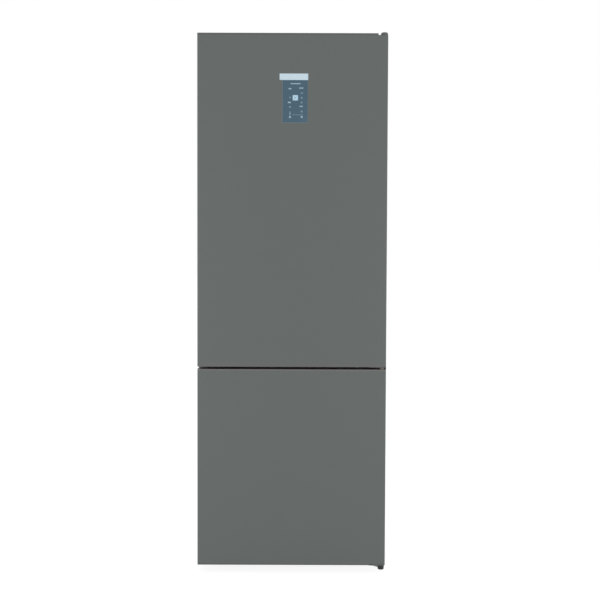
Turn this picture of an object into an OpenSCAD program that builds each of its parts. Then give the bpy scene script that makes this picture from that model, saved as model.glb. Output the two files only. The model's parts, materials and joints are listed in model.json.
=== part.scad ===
// Two-door fridge-freezer with the freezer at the bottom.
// The doors hang on one upright axis at the right, and the cabinet stands on two feet and two rollers.
// Millimetres. X runs to the right, Y to the back, Z up, and the origin is on the floor under the middle.

/* [Overall size] */
// Width over the side panels
overall_w = 595; // [540:5:700]
// Depth from the display glass to the wall spacers
overall_d = 650; // [620:5:760]
// Height to the top of the hinge cover
overall_h = 1700; // [1640:5:2030]
// Gap between the floor and the freezer door
floor_gap = 25; // [24:1:34]
// Gap between the floor and the cabinet
cabinet_lift = 40; // [40:1:50]

/* [Doors] */
// Thickness of both doors without their seals
door_t = 60; // [52:1:70]
// Height of the freezer door
freezer_door_h = 621; // [600:1:660]
// Gap between the two doors
door_gap = 8; // [7:0.5:12]
// How far each door stays inside the cabinet's side
door_reveal = 1; // [0.5:0.5:3]
// Radius of the doors' upright front edges
door_edge_r = 4; // [2:0.5:8]
// Thickness of the steel door skin
skin_t = 1; // [0.6:0.1:1.5]
// Thickness of the plastic end caps
cap_t = 4; // [2:0.5:5]
// Thickness of the cap under the fridge door, seen as a band along its lower edge
lower_cap_t = 8; // [5:0.5:12]
// Thickness of the stop plate under the fridge door
upper_stop_t = 1.6; // [1:0.1:2]
// Thickness of the stop plate under the freezer door
lower_stop_t = 1.5; // [1.5:0.5:3]
// Thickness of the door seals when the door is shut
seal_t = 8; // [7:0.5:12]
// Width of the door seals
seal_w = 14; // [10:1:14]
// How far the door plug of the fridge reaches past the door's back
fridge_plug = 20; // [12:1:22]
// How far the door plug of the freezer reaches past the door's back
freezer_plug = 14; // [10:1:18]
// How far the rack rails reach past the door's back
rail_reach = 60; // [45:1:62]
// Width of each rack rail
rail_w = 22; // [18:1:28]
// Height of the two middle racks
rack_h = 85; // [60:5:110]
// Height of the bottle rack
bottle_rack_h = 110; // [80:5:140]
// Height of the dairy rack under its lid
dairy_h = 70; // [50:5:90]
// Distance from the door plug's top to the dairy rack's floor
dairy_drop = 187.5; // [150:0.5:220]
// Extra space above the bottle rack
bottle_extra = 10; // [0:5:60]
// Length of the grip pocket in each door's side
grip_len = 300; // [150:10:400]
// Width of the grip pocket
grip_w = 32; // [28:1:36]
// Depth of the grip pocket
grip_depth = 22; // [16:1:30]

/* [Hinges] */
// Distance from the side panel to the hinge axis
hinge_inset = 13; // [12.5:0.5:16]
// Distance from the doors' front to the hinge axis
hinge_setback = 28; // [24:1:30]
// Radius of the hinge pins
pin_r = 4; // [3:0.5:5]
// Clearance between a pin and its bush
pin_clearance = 0.1; // [0.05:0.05:0.3]
// Thickness of the top and bottom hinge plates
hinge_plate_t = 4; // [3:0.5:4.5]
// Thickness of the middle hinge plate
middle_plate_t = 3; // [2.5:0.5:4]
// Height of the top hinge cover
hinge_cover_h = 12; // [10:1:16]
// How far the fridge door stands above the cabinet's top
door_rise = 5; // [3:1:7]
// Radius of the front right foot
pad_r = 10.5; // [9:0.5:12]

/* [Cabinet] */
// Side wall of the fridge, steel and liner included
wall_side = 52; // [46:1:60]
// Side wall of the freezer
freezer_wall = 62; // [56:1:70]
// Wall above the fridge compartment
wall_top = 52; // [45:1:70]
// Wall behind both compartments
wall_back = 60; // [50:1:70]
// Height of the wall between the compartments
mullion_h = 56; // [56:1:70]
// Floor under the freezer compartment
floor_wall = 60; // [50:1:70]
// Height of the pressed field in the cabinet's top
field_rise = 1; // [0.5:0.5:3]
// Thickness of the steel sheets
sheet_t = 1; // [0.6:0.1:1.5]
// Thickness of the plastic liners
liner_t = 1.5; // [1:0.1:2.5]
// Radius of the liners' long edges
liner_r = 16; // [8:1:24]
// Height of the compressor bay
bay_h = 205; // [200:1:215]
// Depth of the compressor bay
bay_d = 200; // [190:1:220]
// Foam left at each side of the compressor bay
bay_cheek = 30; // [20:1:40]
// Room for the condenser behind the rear panel
condenser_room = 38; // [34:1:50]

/* [Fridge interior] */
// How far the shelves stay behind the hinge axis
shelf_setback = 149; // [145:1:165]
// Thickness of the shelf glass
glass_t = 4; // [3:0.5:5]
// Width of the moulded ledges that carry the shelves
ledge_w = 12; // [8:1:14]
// Height of the moulded ledges
ledge_h = 10; // [8:0.1:11]
// Height of the crisper shelf above the compartment's floor
crisper_shelf_rise = 176; // [176:1:182]
// Height of the lower shelf above the compartment's floor
lower_shelf_rise = 307; // [300:1:312]
// Height of the wine rack above the compartment's floor
wine_rack_rise = 430; // [415:1:440]
// Height of the middle shelf above the compartment's floor
middle_shelf_rise = 557; // [545:1:580]
// Height of the upper shelf above the compartment's floor
upper_shelf_rise = 752; // [730:1:755]
// Depth of the air duct panel
duct_d = 25; // [20:1:32]
// Wall of the drawers and door racks
tub_wall = 2.5; // [1.5:0.1:3]

/* [Display] */
// Width of the display glass
glass_w = 78; // [60:1:120]
// Height of the display glass
glass_h = 131; // [90:1:160]
// Distance from the display's middle to the door's middle
display_shift = 8; // [-30:1:30]
// Distance from the door's top to the pale strip
display_drop = 125; // [90:1:200]
// Height of the pale strip above the glass
strip_h = 20; // [10:1:30]
// How far the glass stands in front of the door
glass_proud = 1; // [0.5:0.1:2]

/* [Cooling] */
// Number of condenser passes
condenser_passes = 24; // [10:2:26]
// How far the top condenser pass stays below the cabinet's top
condenser_drop = 116; // [100:1:160]
// Radius of the condenser tube
tube_r = 2.5; // [2:0.25:4]
// Radius of the condenser wires
wire_r = 1; // [0.7:0.1:1.5]
// Number of wires on each side of the condenser
wire_count = 25; // [9:2:41]
// Distance between the condenser wires
wire_pitch = 15; // [8:0.5:15]
// Radius of the compressor's shell
compressor_r = 75; // [65:1:78]
// Radius of the evaporator fan
fan_r = 42; // [30:1:44]

/* [Hidden] */

// Sheet, flange and fit sizes
pan_t = 1.5;
flange_w = 36;
pan_lip = 30;
bay_wall = 55;
fit = 0.3;
plug_gap = 6.5;
rail_gap = 10.5;
edge_n = 4;

// Levels and planes of the whole object
half_w = overall_w / 2;
front_y = -overall_d / 2;
door_front_y = front_y + glass_proud;
door_back_y = door_front_y + door_t;
cab_front_y = door_back_y + seal_t;
wall_y = overall_d / 2;
cab_back_y = wall_y - condenser_room;
cab_top_z = overall_h - hinge_cover_h;
door_half = half_w - door_reveal;
freezer_door_top = floor_gap + freezer_door_h;
fridge_door_z = freezer_door_top + door_gap;
fridge_door_top = cab_top_z + door_rise;
axis_x = half_w - hinge_inset;
axis_y = door_front_y + hinge_setback;
mid_z = freezer_door_top + door_gap / 2;

// Compartments
fridge_half = half_w - wall_side;
freezer_half = half_w - freezer_wall;
back_y = cab_back_y - wall_back;
fridge_floor = mid_z + mullion_h / 2;
fridge_ceiling = cab_top_z - wall_top;
freezer_floor = cabinet_lift + floor_wall;
freezer_ceiling = mid_z - mullion_h / 2;
bay_top = cabinet_lift + bay_h;
bay_front = cab_back_y - bay_d;
bay_half = half_w - bay_cheek;
step_y = bay_front - bay_wall;
step_z = bay_top + bay_wall;
rail_half_z = 10;

// Shelves and drawers of the fridge
shelf_front = axis_y + shelf_setback;
duct_y = back_y - duct_d;
shelf_back = duct_y - 4;
shelf_half = fridge_half - 1;
frame_t = 12;
frame_w = 18;
runner_h = 10;
crisper_z = fridge_floor + 4;
crisper_shelf_z = fridge_floor + crisper_shelf_rise;
crisper_top = crisper_shelf_z - ledge_h - 2;
lower_shelf_z = fridge_floor + lower_shelf_rise;
chiller_z = crisper_shelf_z + frame_t + runner_h;
chiller_top = lower_shelf_z - ledge_h - 2;
wine_rack_z = fridge_floor + wine_rack_rise;
middle_shelf_z = fridge_floor + middle_shelf_rise;
upper_shelf_z = fridge_floor + upper_shelf_rise;
shelf_levels = [lower_shelf_z, middle_shelf_z, upper_shelf_z];
ledge_levels = concat([crisper_shelf_z, wine_rack_z], shelf_levels);
tub_half = fridge_half - 7.5;

// Drawers of the freezer
drawer_front_y = axis_y + 82;
drawer_front_t = 8;
drawer_half = freezer_half - 9;
drawer_ledge_w = 15;
drawer_body_half = freezer_half - drawer_ledge_w - 1.5;
drawer_gap = 8;
rim_t = 4;
evap_cover_y = back_y - 62;
drawer_bottoms = [freezer_floor + 4, step_z + 4,
    step_z + 4 + (freezer_ceiling - step_z - 4 - drawer_gap) / 2];
drawer_tops = [step_z - 10, drawer_bottoms[2] - drawer_gap, freezer_ceiling - drawer_gap - 2];
drawer_backs = [step_y - 4, evap_cover_y - 6, evap_cover_y - 6];

// Doors
door_in = door_half - skin_t;
back_flange = 12;
plug_half = fridge_half - plug_gap;
freezer_plug_half = freezer_half - plug_gap;
rail_out = fridge_half - rail_gap;
rail_in = rail_out - rail_w;
top_cap_t = door_rise + 1;
notch_x = axis_x - 18.5;
tongue_shift = 2;
stop_far = 41;
stop_near = 10;
stop_back = 20;
stop_screw = 30;
boss_r = 9;
boss_depth = 22;
pin_reach = 18;
lower_pin_r = pin_r + 1;
stem_r = pin_r - 1;
plug_z0 = fridge_floor + plug_gap;
plug_z1 = fridge_ceiling - plug_gap;
rack_back = door_back_y + fridge_plug;
rack_front = axis_y + 137;
rack_half = rail_in - 0.5;

// Display
glass_x0 = display_shift - glass_w / 2;
glass_x1 = display_shift + glass_w / 2;
strip_x0 = glass_x0 - 9.5;
strip_x1 = glass_x1 + 1.5;
strip_top = fridge_door_top - display_drop;
strip_z = strip_top - strip_h;
glass_z = strip_z - glass_h;
pane_t = 3;
housing_d = 26;

// Grips
grip_y = door_front_y + 14;
fridge_grip_z = fridge_door_z + 40;
freezer_grip_z = freezer_door_top - 40 - grip_len;
cup_wall = 2;

// Condenser, compressor and evaporator
cond_y = cab_back_y + 16;
cond_half = 230;
cond_z0 = bay_top + 85;
cond_z1 = cab_top_z - condenser_drop;
condenser_pitch = (cond_z1 - cond_z0) / (condenser_passes - 1);
bend_r = condenser_pitch / 2;
pass_half = cond_half - bend_r;
outlet_bend_r = 11;
field_edge = 40;
field_front = cab_front_y + 90;
comp_x = -70;
comp_y = bay_front + bay_d / 2;
carrier_t = 3;
mount_h = 15;
comp_z = cabinet_lift + carrier_t + mount_h;
comp_h = 135;
comp_foot_t = 3;
roller_r = 15;
roller_w = 12;
roller_x = half_w - 47;
roller_y = cab_back_y - 32;
axle_r = 3;
foot_x = half_w - 27;
foot_y = axis_y + 91;
right_foot_x = axis_x + 2;
right_foot_y = axis_y + 22;
fan_z = freezer_ceiling - 62;
fan_y = evap_cover_y + 10;
evap_z0 = step_z + 22;
evap_h = 170;
evap_side_gap = 43.5;

// Outlines and solids that the modules share

// Points of an arc from angle a0 to a1
function arc(x, y, r, a0, a1, n = edge_n) =
    [for (i = [0:n]) [x + r * cos(a0 + (a1 - a0) * i / n), y + r * sin(a0 + (a1 - a0) * i / n)]];

// Rectangle with four round corners
function soft_rect(x0, y0, x1, y1, r) = concat(
    arc(x0 + r, y0 + r, r, 180, 270),
    arc(x1 - r, y0 + r, r, 270, 360),
    arc(x1 - r, y1 - r, r, 0, 90),
    arc(x0 + r, y1 - r, r, 90, 180)
);

// Rectangle with two round corners at its far side
function arch(half, z0, z1, r) = concat(
    [[-half, z0], [half, z0]],
    arc(half - r, z1 - r, r, 0, 90),
    arc(-half + r, z1 - r, r, 90, 180)
);

module box(low, high) {
    translate(low) cube(high - low);
}

// Solid on a floor plan, from z0 up to z1
module upright(points, z0, z1) {
    translate([0, 0, z0]) linear_extrude(z1 - z0) polygon(points);
}

// Solid on a front view, from y0 back to y1
module through(points, y0, y1) {
    translate([0, y1, 0]) rotate([90, 0, 0]) linear_extrude(y1 - y0) polygon(points);
}

// Solid on a side view, from x0 across to x1
module across(points, x0, x1) {
    translate([x0, 0, 0]) rotate([90, 0, 90]) linear_extrude(x1 - x0) polygon(points);
}

module rod_x(r, x0, x1, y, z) {
    translate([x0, y, z]) rotate([0, 90, 0]) cylinder(r = r, h = x1 - x0, $fn = 48);
}

module rod_y(r, y0, y1, x, z) {
    translate([x, y1, z]) rotate([90, 0, 0]) cylinder(r = r, h = y1 - y0, $fn = 48);
}

module rod_z(r, z0, z1, x, y) {
    translate([x, y, z0]) cylinder(r = r, h = z1 - z0, $fn = 48);
}

module both_sides() {
    children();
    mirror([1, 0, 0]) children();
}

// Cabinet

// Outline of the pressed field in the cabinet's top, behind the hinge cover
module top_field(inset, z0, z1) {
    upright(soft_rect(-half_w + field_edge + inset, field_front + inset, half_w - field_edge - inset,
        cab_back_y - field_edge - inset, 20 - inset), z0, z1);
}

// Steel sheet folded round both sides and the top, with its edges returned at the front
module outer_wrap() {
    inner = arch(half_w - sheet_t, cabinet_lift - 1, cab_top_z - sheet_t, 4 - sheet_t);
    window = arch(half_w - flange_w, cabinet_lift - 1, cab_top_z - flange_w, 4);
    color("#8a908e") difference() {
        union() {
            through(arch(half_w, cabinet_lift, cab_top_z, 4), cab_front_y, cab_back_y);
            top_field(0, cab_top_z - sheet_t, cab_top_z + field_rise);
        }
        through(inner, cab_front_y + sheet_t, cab_back_y + 1);
        top_field(sheet_t, cab_top_z - 2 * sheet_t, cab_top_z - sheet_t + field_rise);
        through(window, cab_front_y - 1, cab_front_y + sheet_t + 1);
    }
}

// Steel sheet at the back, which reaches down on both sides of the compressor bay
module rear_panel() {
    color("#4a4d4f") difference() {
        through(arch(half_w - sheet_t, cabinet_lift, cab_top_z - sheet_t, 4 - sheet_t), cab_back_y - sheet_t,
            cab_back_y);
        box([-bay_half, cab_back_y - 2, cabinet_lift - 1], [bay_half, cab_back_y + 1, bay_top]);
        for (rise = [200:200:1200]) {
            box([-bay_half, cab_back_y - 0.4, bay_top + rise],
                [bay_half, cab_back_y + 1, bay_top + rise + 6]);
        }
        rod_y(tube_r + fit, cab_back_y - sheet_t - 1, cab_back_y + 1, -pass_half - outlet_bend_r, cond_z1);
    }
}

// Folded floor of the cabinet with the bay for the compressor, the carrier, the foot boss and the roller forks
module base_pan() {
    side = half_w - sheet_t;
    fork_t = 2;
    fork_gap = 0.5;
    color("#55585a") {
        difference() {
            union() {
                box([-side, cab_front_y + sheet_t, cabinet_lift], [side, bay_front, cabinet_lift + pan_t]);
                box([-side, bay_front, cabinet_lift], [side, cab_back_y - sheet_t, cabinet_lift + pan_t]);
                box([-half_w + flange_w, cab_front_y, cabinet_lift],
                    [half_w - flange_w, cab_front_y + pan_t, cabinet_lift + pan_lip]);
                box([-bay_half, bay_front, cabinet_lift], [bay_half, cab_back_y - sheet_t, bay_top]);
            }
            box([-bay_half + pan_t, bay_front + pan_t, cabinet_lift - 1],
                [bay_half - pan_t, cab_back_y + 1, bay_top - pan_t]);
        }
        box([-bay_half + pan_t, bay_front + 20, cabinet_lift],
            [bay_half - pan_t, cab_back_y - 4, cabinet_lift + carrier_t]);
        difference() {
            rod_z(9, cabinet_lift - 20, cabinet_lift, -foot_x, foot_y);
            rod_z(5 + pin_clearance, cabinet_lift - 21, cabinet_lift - 0.5, -foot_x, foot_y);
        }
        both_sides() {
            for (side_x = [roller_x - roller_w / 2 - fork_gap - fork_t, roller_x + roller_w / 2 + fork_gap]) {
                across([[roller_y - 16, cabinet_lift], [roller_y - 7, roller_r - 6],
                    [roller_y + 7, roller_r - 6],
                    [roller_y + 16, cabinet_lift]], side_x, side_x + fork_t);
            }
            rod_x(axle_r, roller_x - roller_w / 2 - fork_gap - 1, roller_x + roller_w / 2 + fork_gap + 1,
                roller_y, roller_r);
        }
    }
}

module fridge_space(grow) {
    through(soft_rect(-fridge_half - grow, fridge_floor - grow, fridge_half + grow, fridge_ceiling + grow,
        liner_r + grow), cab_front_y - 1, back_y + grow);
}

module freezer_space(grow) {
    r = liner_r + grow;
    through(soft_rect(-freezer_half - grow, step_z - grow, freezer_half + grow, freezer_ceiling + grow, r),
        cab_front_y - 1, back_y + grow);
    through(soft_rect(-freezer_half - grow, freezer_floor - grow, freezer_half + grow,
        freezer_ceiling + grow, r),
        cab_front_y - 1, step_y + grow);
}

// Foam between the steel and the liners
module cabinet_foam() {
    side = half_w - sheet_t;
    color("#e6dfc8") difference() {
        union() {
            through(arch(side, cabinet_lift + pan_t, cab_top_z - sheet_t, 4 - sheet_t),
                cab_front_y + liner_t, cab_back_y - sheet_t);
            top_field(sheet_t, cab_top_z - 2 * sheet_t, cab_top_z - sheet_t + field_rise);
        }
        fridge_space(liner_t);
        freezer_space(liner_t);
        box([-bay_half, bay_front, cabinet_lift], [bay_half, cab_back_y, bay_top]);
        box([-half_w + flange_w, cab_front_y, mid_z - rail_half_z],
            [half_w - flange_w, cab_front_y + 12, mid_z + rail_half_z]);
    }
}

module shelf_ledge(z) {
    inner = fridge_half - ledge_w;
    both_sides() across([[shelf_front + 6, z - ledge_h], [back_y, z - ledge_h], [back_y, z], [shelf_front, z],
        [shelf_front, z - 4]], inner, fridge_half + liner_t / 2);
}

// Moulded lining of the fridge compartment with its shelf ledges
module fridge_liner() {
    color("#f4f5f3") {
        difference() {
            union() {
                fridge_space(liner_t);
                through(soft_rect(-half_w + flange_w, mid_z + rail_half_z, half_w - flange_w,
                    cab_top_z - flange_w, 4), cab_front_y, cab_front_y + liner_t);
            }
            fridge_space(0);
            box([-half_w, cab_front_y - 2, cabinet_lift], [half_w, cab_front_y, cab_top_z]);
        }
        for (z = ledge_levels) {
            shelf_ledge(z);
        }
        both_sides() box([tub_half - 34, shelf_front + 10, fridge_floor - liner_t / 2],
            [tub_half - 26, back_y - 30, crisper_z - fit]);
    }
}

// Moulded lining of the freezer compartment with its drawer ledges
module freezer_liner() {
    inner = freezer_half - drawer_ledge_w;
    color("#f4f5f3") {
        difference() {
            union() {
                freezer_space(liner_t);
                through(soft_rect(-half_w + flange_w, cabinet_lift + pan_lip, half_w - flange_w,
                    mid_z - rail_half_z, 4), cab_front_y, cab_front_y + liner_t);
            }
            freezer_space(0);
            box([-half_w, cab_front_y - 2, cabinet_lift], [half_w, cab_front_y, cab_top_z]);
        }
        for (i = [0:2]) {
            top = drawer_tops[i] - rim_t - 2 - fit;
            both_sides() across([[drawer_front_y + drawer_front_t + 8, top - 10], [drawer_backs[i], top - 10],
                [drawer_backs[i], top], [drawer_front_y + drawer_front_t + 2, top],
                [drawer_front_y + drawer_front_t + 2, top - 4]], inner, freezer_half + liner_t / 2);
        }
    }
}

// Steel channel across the front between the two compartments
module mullion_rail() {
    side = half_w - flange_w;
    color("#8a908e") difference() {
        box([-side, cab_front_y, mid_z - rail_half_z], [side, cab_front_y + 12, mid_z + rail_half_z]);
        box([-side - 1, cab_front_y + liner_t, mid_z - rail_half_z + liner_t],
            [side + 1, cab_front_y + 13, mid_z + rail_half_z - liner_t]);
    }
}

// Air grille under the cabinet's front edge
module plinth() {
    half = half_w - 50;
    slot_pitch = 24;
    slots = floor((2 * half - 30) / slot_pitch);
    color("#3b3f40") difference() {
        union() {
            box([-half, cab_front_y + 6, cabinet_lift - 28], [half, cab_front_y + 9, cabinet_lift]);
            box([-half, cab_front_y + 6, cabinet_lift - 3], [half, cab_front_y + 26, cabinet_lift]);
        }
        for (i = [0:slots - 1]) {
            x = (i - (slots - 1) / 2) * slot_pitch;
            box([x - 8, cab_front_y + 5, cabinet_lift - 22], [x + 8, cab_front_y + 10, cabinet_lift - 10]);
        }
    }
}

// Hinges

// Plan of the top hinge: a round tongue over the door and a wide foot on the cabinet
function hinge_plan(inset) = concat(
    arc(axis_x + tongue_shift, axis_y, hinge_inset - tongue_shift - inset, 180, 360, 12),
    [
        [axis_x + hinge_inset - inset, cab_front_y + 70 - inset],
        [axis_x - 60 + inset, cab_front_y + 70 - inset],
        [axis_x - 60 + inset, cab_front_y + 4 + inset],
        [axis_x - hinge_inset + 2 * tongue_shift + inset, cab_front_y + 4 + inset]
    ]
);

// Plan of the middle hinge's arm
function arm_plan(r, back) = concat(
    arc(axis_x, axis_y, r, 180, 360, 12),
    [[axis_x + r, back], [axis_x - r - 10, back], [axis_x - r, back - 18]]
);

module top_hinge() {
    color("#9da0a1") {
        upright(hinge_plan(2.5), cab_top_z, cab_top_z + hinge_plate_t);
        rod_z(pin_r, cab_top_z - 1 - pin_reach, cab_top_z + 1, axis_x, axis_y);
        for (place = [[-45, 20], [-45, 54], [-5, 54]]) {
            rod_z(4, cab_top_z + hinge_plate_t, cab_top_z + hinge_plate_t + 2.5,
                axis_x + place[0], cab_front_y + place[1]);
        }
    }
}

module top_hinge_cover() {
    color("#8e9290") difference() {
        upright(hinge_plan(0), cab_top_z, overall_h);
        upright(hinge_plan(2.2), cab_top_z - 1, overall_h - 2);
    }
}

module middle_hinge() {
    nose_half = 6;
    nose_back = 3;
    t = middle_plate_t / 2;
    washer = (door_gap - middle_plate_t) / 2 - fit;
    half = door_gap / 2 + 2.5;
    color("#6d7172") {
        upright(arm_plan(hinge_inset - 0.5, cab_front_y), mid_z - t, mid_z + t);
        box([axis_x - 80, cab_front_y - 3, mid_z - half], [axis_x + 6, cab_front_y, mid_z + half]);
        box([axis_x + 6, cab_front_y - 3, mid_z - 3.5], [half_w, cab_front_y, mid_z + 3.5]);
        rod_z(pin_r, mid_z - door_gap / 2 - pin_reach, mid_z + door_gap / 2 + pin_reach, axis_x, axis_y);
        rod_z(pin_r + 2, mid_z - t - washer, mid_z + t + washer, axis_x, axis_y);
        upright(soft_rect(axis_x - nose_half, door_front_y + nose_back, axis_x + nose_half, axis_y, 3),
            mid_z - door_gap / 2 + fit, mid_z + door_gap / 2 - upper_stop_t - fit);
        for (side_x = [axis_x - 66, axis_x - 40]) {
            rod_y(3.5, cab_front_y - 4.5, cab_front_y - 3, side_x, mid_z);
        }
    }
}

// Plate under the doors' corner with a slanted edge, folded down, and the foot's thread behind the pin
module bottom_hinge() {
    plate_z = floor_gap - 6.5;
    web_y = cab_front_y + 4;
    lip_front = [axis_x - 12, axis_y - 13];
    lip_back = [axis_x - 28, axis_y + 8];
    lip_t = [2, 1.5];
    color("#6d7172") difference() {
        union() {
            upright(concat(arc(axis_x, axis_y, 9.5, 240, 300, 6), arc(axis_x + 4, axis_y, 8, 300, 360, 6),
                [[axis_x + 12, web_y + 4], [lip_back.x, web_y + 4], lip_back, lip_front]),
                plate_z, plate_z + hinge_plate_t);
            upright([lip_front, lip_back, lip_back + lip_t, lip_front + lip_t], plate_z - 3.2, plate_z);
            box([axis_x - 22, web_y, plate_z], [axis_x + hinge_inset - 1, web_y + 4, cabinet_lift]);
            box([axis_x - 22, web_y, cabinet_lift - 4], [axis_x + hinge_inset - 1, web_y + 66, cabinet_lift]);
            rod_z(lower_pin_r + 2, plate_z, floor_gap - fit, axis_x, axis_y);
            rod_z(lower_pin_r, plate_z, floor_gap + pin_reach, axis_x, axis_y);
        }
        rod_z(stem_r + pin_clearance, plate_z - 1, floor_gap - 4, right_foot_x, right_foot_y);
    }
}

// Feet and rollers

module foot_right() {
    pad_top = floor_gap - 8;
    color("#2e3133") {
        rotate_extrude_at(right_foot_x, right_foot_y,
            [[0, 0], [pad_r - 2.5, 0], [pad_r - 1.2, 0.8], [pad_r - 0.7, 2.2],
            [pad_r, pad_top - 3], [pad_r - 0.5, pad_top - 0.8], [pad_r - 1.2, pad_top], [0, pad_top]]);
        rod_z(stem_r, 1, floor_gap - 5, right_foot_x, right_foot_y);
    }
}

module foot_left() {
    r = 1.4 * pad_r;
    color("#2e3133") {
        rotate_extrude_at(-foot_x, foot_y, [[0, 0], [r - 2, 0], [r, 2], [r, 7], [r - 3, 10], [r / 2, 10.5],
            [r / 2, 16], [0, 16]]);
        rod_z(5, 1, cabinet_lift - 2, -foot_x, foot_y);
    }
}

module rotate_extrude_at(x, y, profile) {
    translate([x, y, 0]) rotate_extrude($fn = 64) polygon(profile);
}

module roller(x) {
    half = roller_w / 2;
    color("#2e3133") translate([x, roller_y, roller_r]) rotate([0, 90, 0]) rotate_extrude($fn = 64) polygon([
        [axle_r + pin_clearance, -half], [8, -half], [9, -half + 2], [12, -half + 2], [13, -half],
            [14, -half],
        [roller_r, -half + 1], [roller_r, half - 1], [14, half], [13, half], [12, half - 2], [9, half - 2],
        [8, half], [axle_r + pin_clearance, half]
    ]);
}

module roller_left() {
    roller(-roller_x);
}

module roller_right() {
    roller(roller_x);
}

// Cooling system

// Pressed steel pot of the compressor with its welded seam and foot plate
module compressor() {
    r = compressor_r;
    seam = comp_z + comp_h * 0.52;
    top = comp_z + comp_h;
    color("#26282a") {
        translate([comp_x, comp_y, 0]) rotate_extrude($fn = 96) polygon(concat(
            [[0, comp_z], [r * 0.55, comp_z]],
            arc(r * 0.55, comp_z + r * 0.45, r * 0.45, 270, 360, 6),
            [[r, seam - 4], [r + 4, seam - 4], [r + 4, seam + 4], [r - 3, seam + 4]],
            arc(r * 0.45 - 3, top - r * 0.55, r * 0.55, 0, 90, 6),
            [[0, top]]
        ));
        difference() {
            upright(soft_rect(comp_x - r - 22, comp_y - 52, comp_x + r + 22, comp_y + 52, 14),
                comp_z, comp_z + comp_foot_t);
            for (place = mount_places) {
                rod_z(5, comp_z - 1, comp_z + comp_foot_t + 1, comp_x + place[0], comp_y + place[1]);
            }
        }
        rod_z(5, top - 4, top + 10, comp_x + 20, comp_y - 30);
    }
}

mount_places = [
    for (side = [-1, 1], end = [-1, 1]) [side * (compressor_r + 10), end * 40]
];

// Four rubber grommets between the carrier and the compressor's foot plate
module compressor_mounts() {
    base = cabinet_lift + carrier_t;
    color("#17191b") for (place = mount_places) {
        translate([comp_x + place[0], comp_y + place[1], 0]) rotate_extrude($fn = 48) polygon([
            [0, base], [11, base], [12, base + 3], [8, base + 6], [8, base + 9], [11, base + 12],
                [10, comp_z],
            [5, comp_z], [5, comp_z + comp_foot_t], [8, comp_z + comp_foot_t], [7, comp_z + comp_foot_t + 4],
            [0, comp_z + comp_foot_t + 4]
        ]);
    }
}

// Box for the starter and the mains wires at the compressor's side, with the cable gland
module relay_box() {
    x0 = comp_x + compressor_r - 12;
    z0 = comp_z + comp_foot_t + 14;
    color("#1d1f21") difference() {
        union() {
            upright(soft_rect(x0, comp_y - 34, x0 + 46, comp_y + 34, 6), z0, z0 + 62);
            rod_y(7, comp_y + 34, comp_y + 48, x0 + 30, z0 + 20);
            rod_y(9, comp_y + 34, comp_y + 39, x0 + 30, z0 + 20);
        }
        rod_y(3.5, comp_y + 30, comp_y + 50, x0 + 30, z0 + 20);
        rod_z(compressor_r + 4.5, z0 - 1, z0 + 63, comp_x, comp_y);
    }
    color("#1d1f21") box([comp_x + compressor_r - 2, comp_y - 12, comp_z + comp_foot_t],
        [comp_x + compressor_r + 16, comp_y + 12, z0]);
}

// Tray that lets the defrost water dry on the warm compressor
module drip_tray() {
    base = comp_z + comp_h;
    reach = compressor_r + 16;
    outer = soft_rect(comp_x - reach, comp_y - 80, comp_x + reach, comp_y + 80, 20);
    inner = soft_rect(comp_x - reach + 2, comp_y - 78, comp_x + reach - 2, comp_y + 78, 18);
    color("#2b2e30") difference() {
        union() {
            upright(outer, base, base + 30);
            upright(soft_rect(comp_x - reach - 4, comp_y - 84, comp_x + reach + 4, comp_y + 84, 24),
                base + 27, base + 30);
        }
        upright(inner, base + 2, base + 31);
        rod_z(5 + fit, base - 1, base + 3, comp_x + 20, comp_y - 30);
    }
    color("#2b2e30") difference() {
        rod_z(9, base, base + 14, comp_x + 20, comp_y - 30);
        rod_z(5 + fit, base - 1, base + 11, comp_x + 20, comp_y - 30);
    }
}

// Serpentine of the condenser with the pipe up from the compressor and the drier
module condenser_tube() {
    drier_x = comp_x - compressor_r - 5;
    color("#1b1c1e") {
        for (i = [0:condenser_passes - 1]) {
            rod_x(tube_r, -pass_half, pass_half, cond_y, cond_z0 + i * condenser_pitch);
        }
        for (i = [0:condenser_passes - 2]) {
            turn = (i % 2 == 0) ? 1 : -1;
            translate([turn * pass_half, cond_y, cond_z0 + (i + 0.5) * condenser_pitch])
                rotate([90, 0, 0]) rotate([0, 0, turn > 0 ? -90 : 90])
                    rotate_extrude(angle = 180, $fn = 64) translate([bend_r, 0]) circle(r = tube_r, $fn = 32);
        }
        translate([-pass_half, cond_y, cond_z0 - bend_r]) rotate([90, 0, 0]) rotate([0, 0, 90])
            rotate_extrude(angle = 90, $fn = 64) translate([bend_r, 0]) circle(r = tube_r, $fn = 32);
        rod_z(tube_r, comp_z + 90 + bend_r, cond_z0 - bend_r, -pass_half - bend_r, cond_y);
        translate([-pass_half, cond_y, comp_z + 90 + bend_r]) rotate([90, 0, 0]) rotate([0, 0, 180])
            rotate_extrude(angle = 90, $fn = 64) translate([bend_r, 0]) circle(r = tube_r, $fn = 32);
        rod_x(tube_r, -pass_half, drier_x, cond_y, comp_z + 90);
        translate([-pass_half, cond_y - outlet_bend_r, cond_z1]) rotate([0, 0, 90])
            rotate_extrude(angle = 90, $fn = 64) translate([outlet_bend_r, 0]) circle(r = tube_r, $fn = 32);
        rod_y(tube_r, cab_back_y - sheet_t / 2, cond_y - outlet_bend_r, -pass_half - outlet_bend_r, cond_z1);
        rod_x(8, drier_x, drier_x + 60, cond_y, comp_z + 90);
    }
}

// Upright wires on both faces of the serpentine
module condenser_wires() {
    sink = 0.3;
    reach = tube_r + wire_r - sink;
    color("#1b1c1e") for (i = [0:wire_count - 1], face = [-1, 1]) {
        x = (i - (wire_count - 1) / 2) * wire_pitch;
        translate([x, cond_y + face * reach, cond_z0 - 10])
            cylinder(r = wire_r, h = cond_z1 - cond_z0 + 20, $fn = 8);
    }
}

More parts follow.
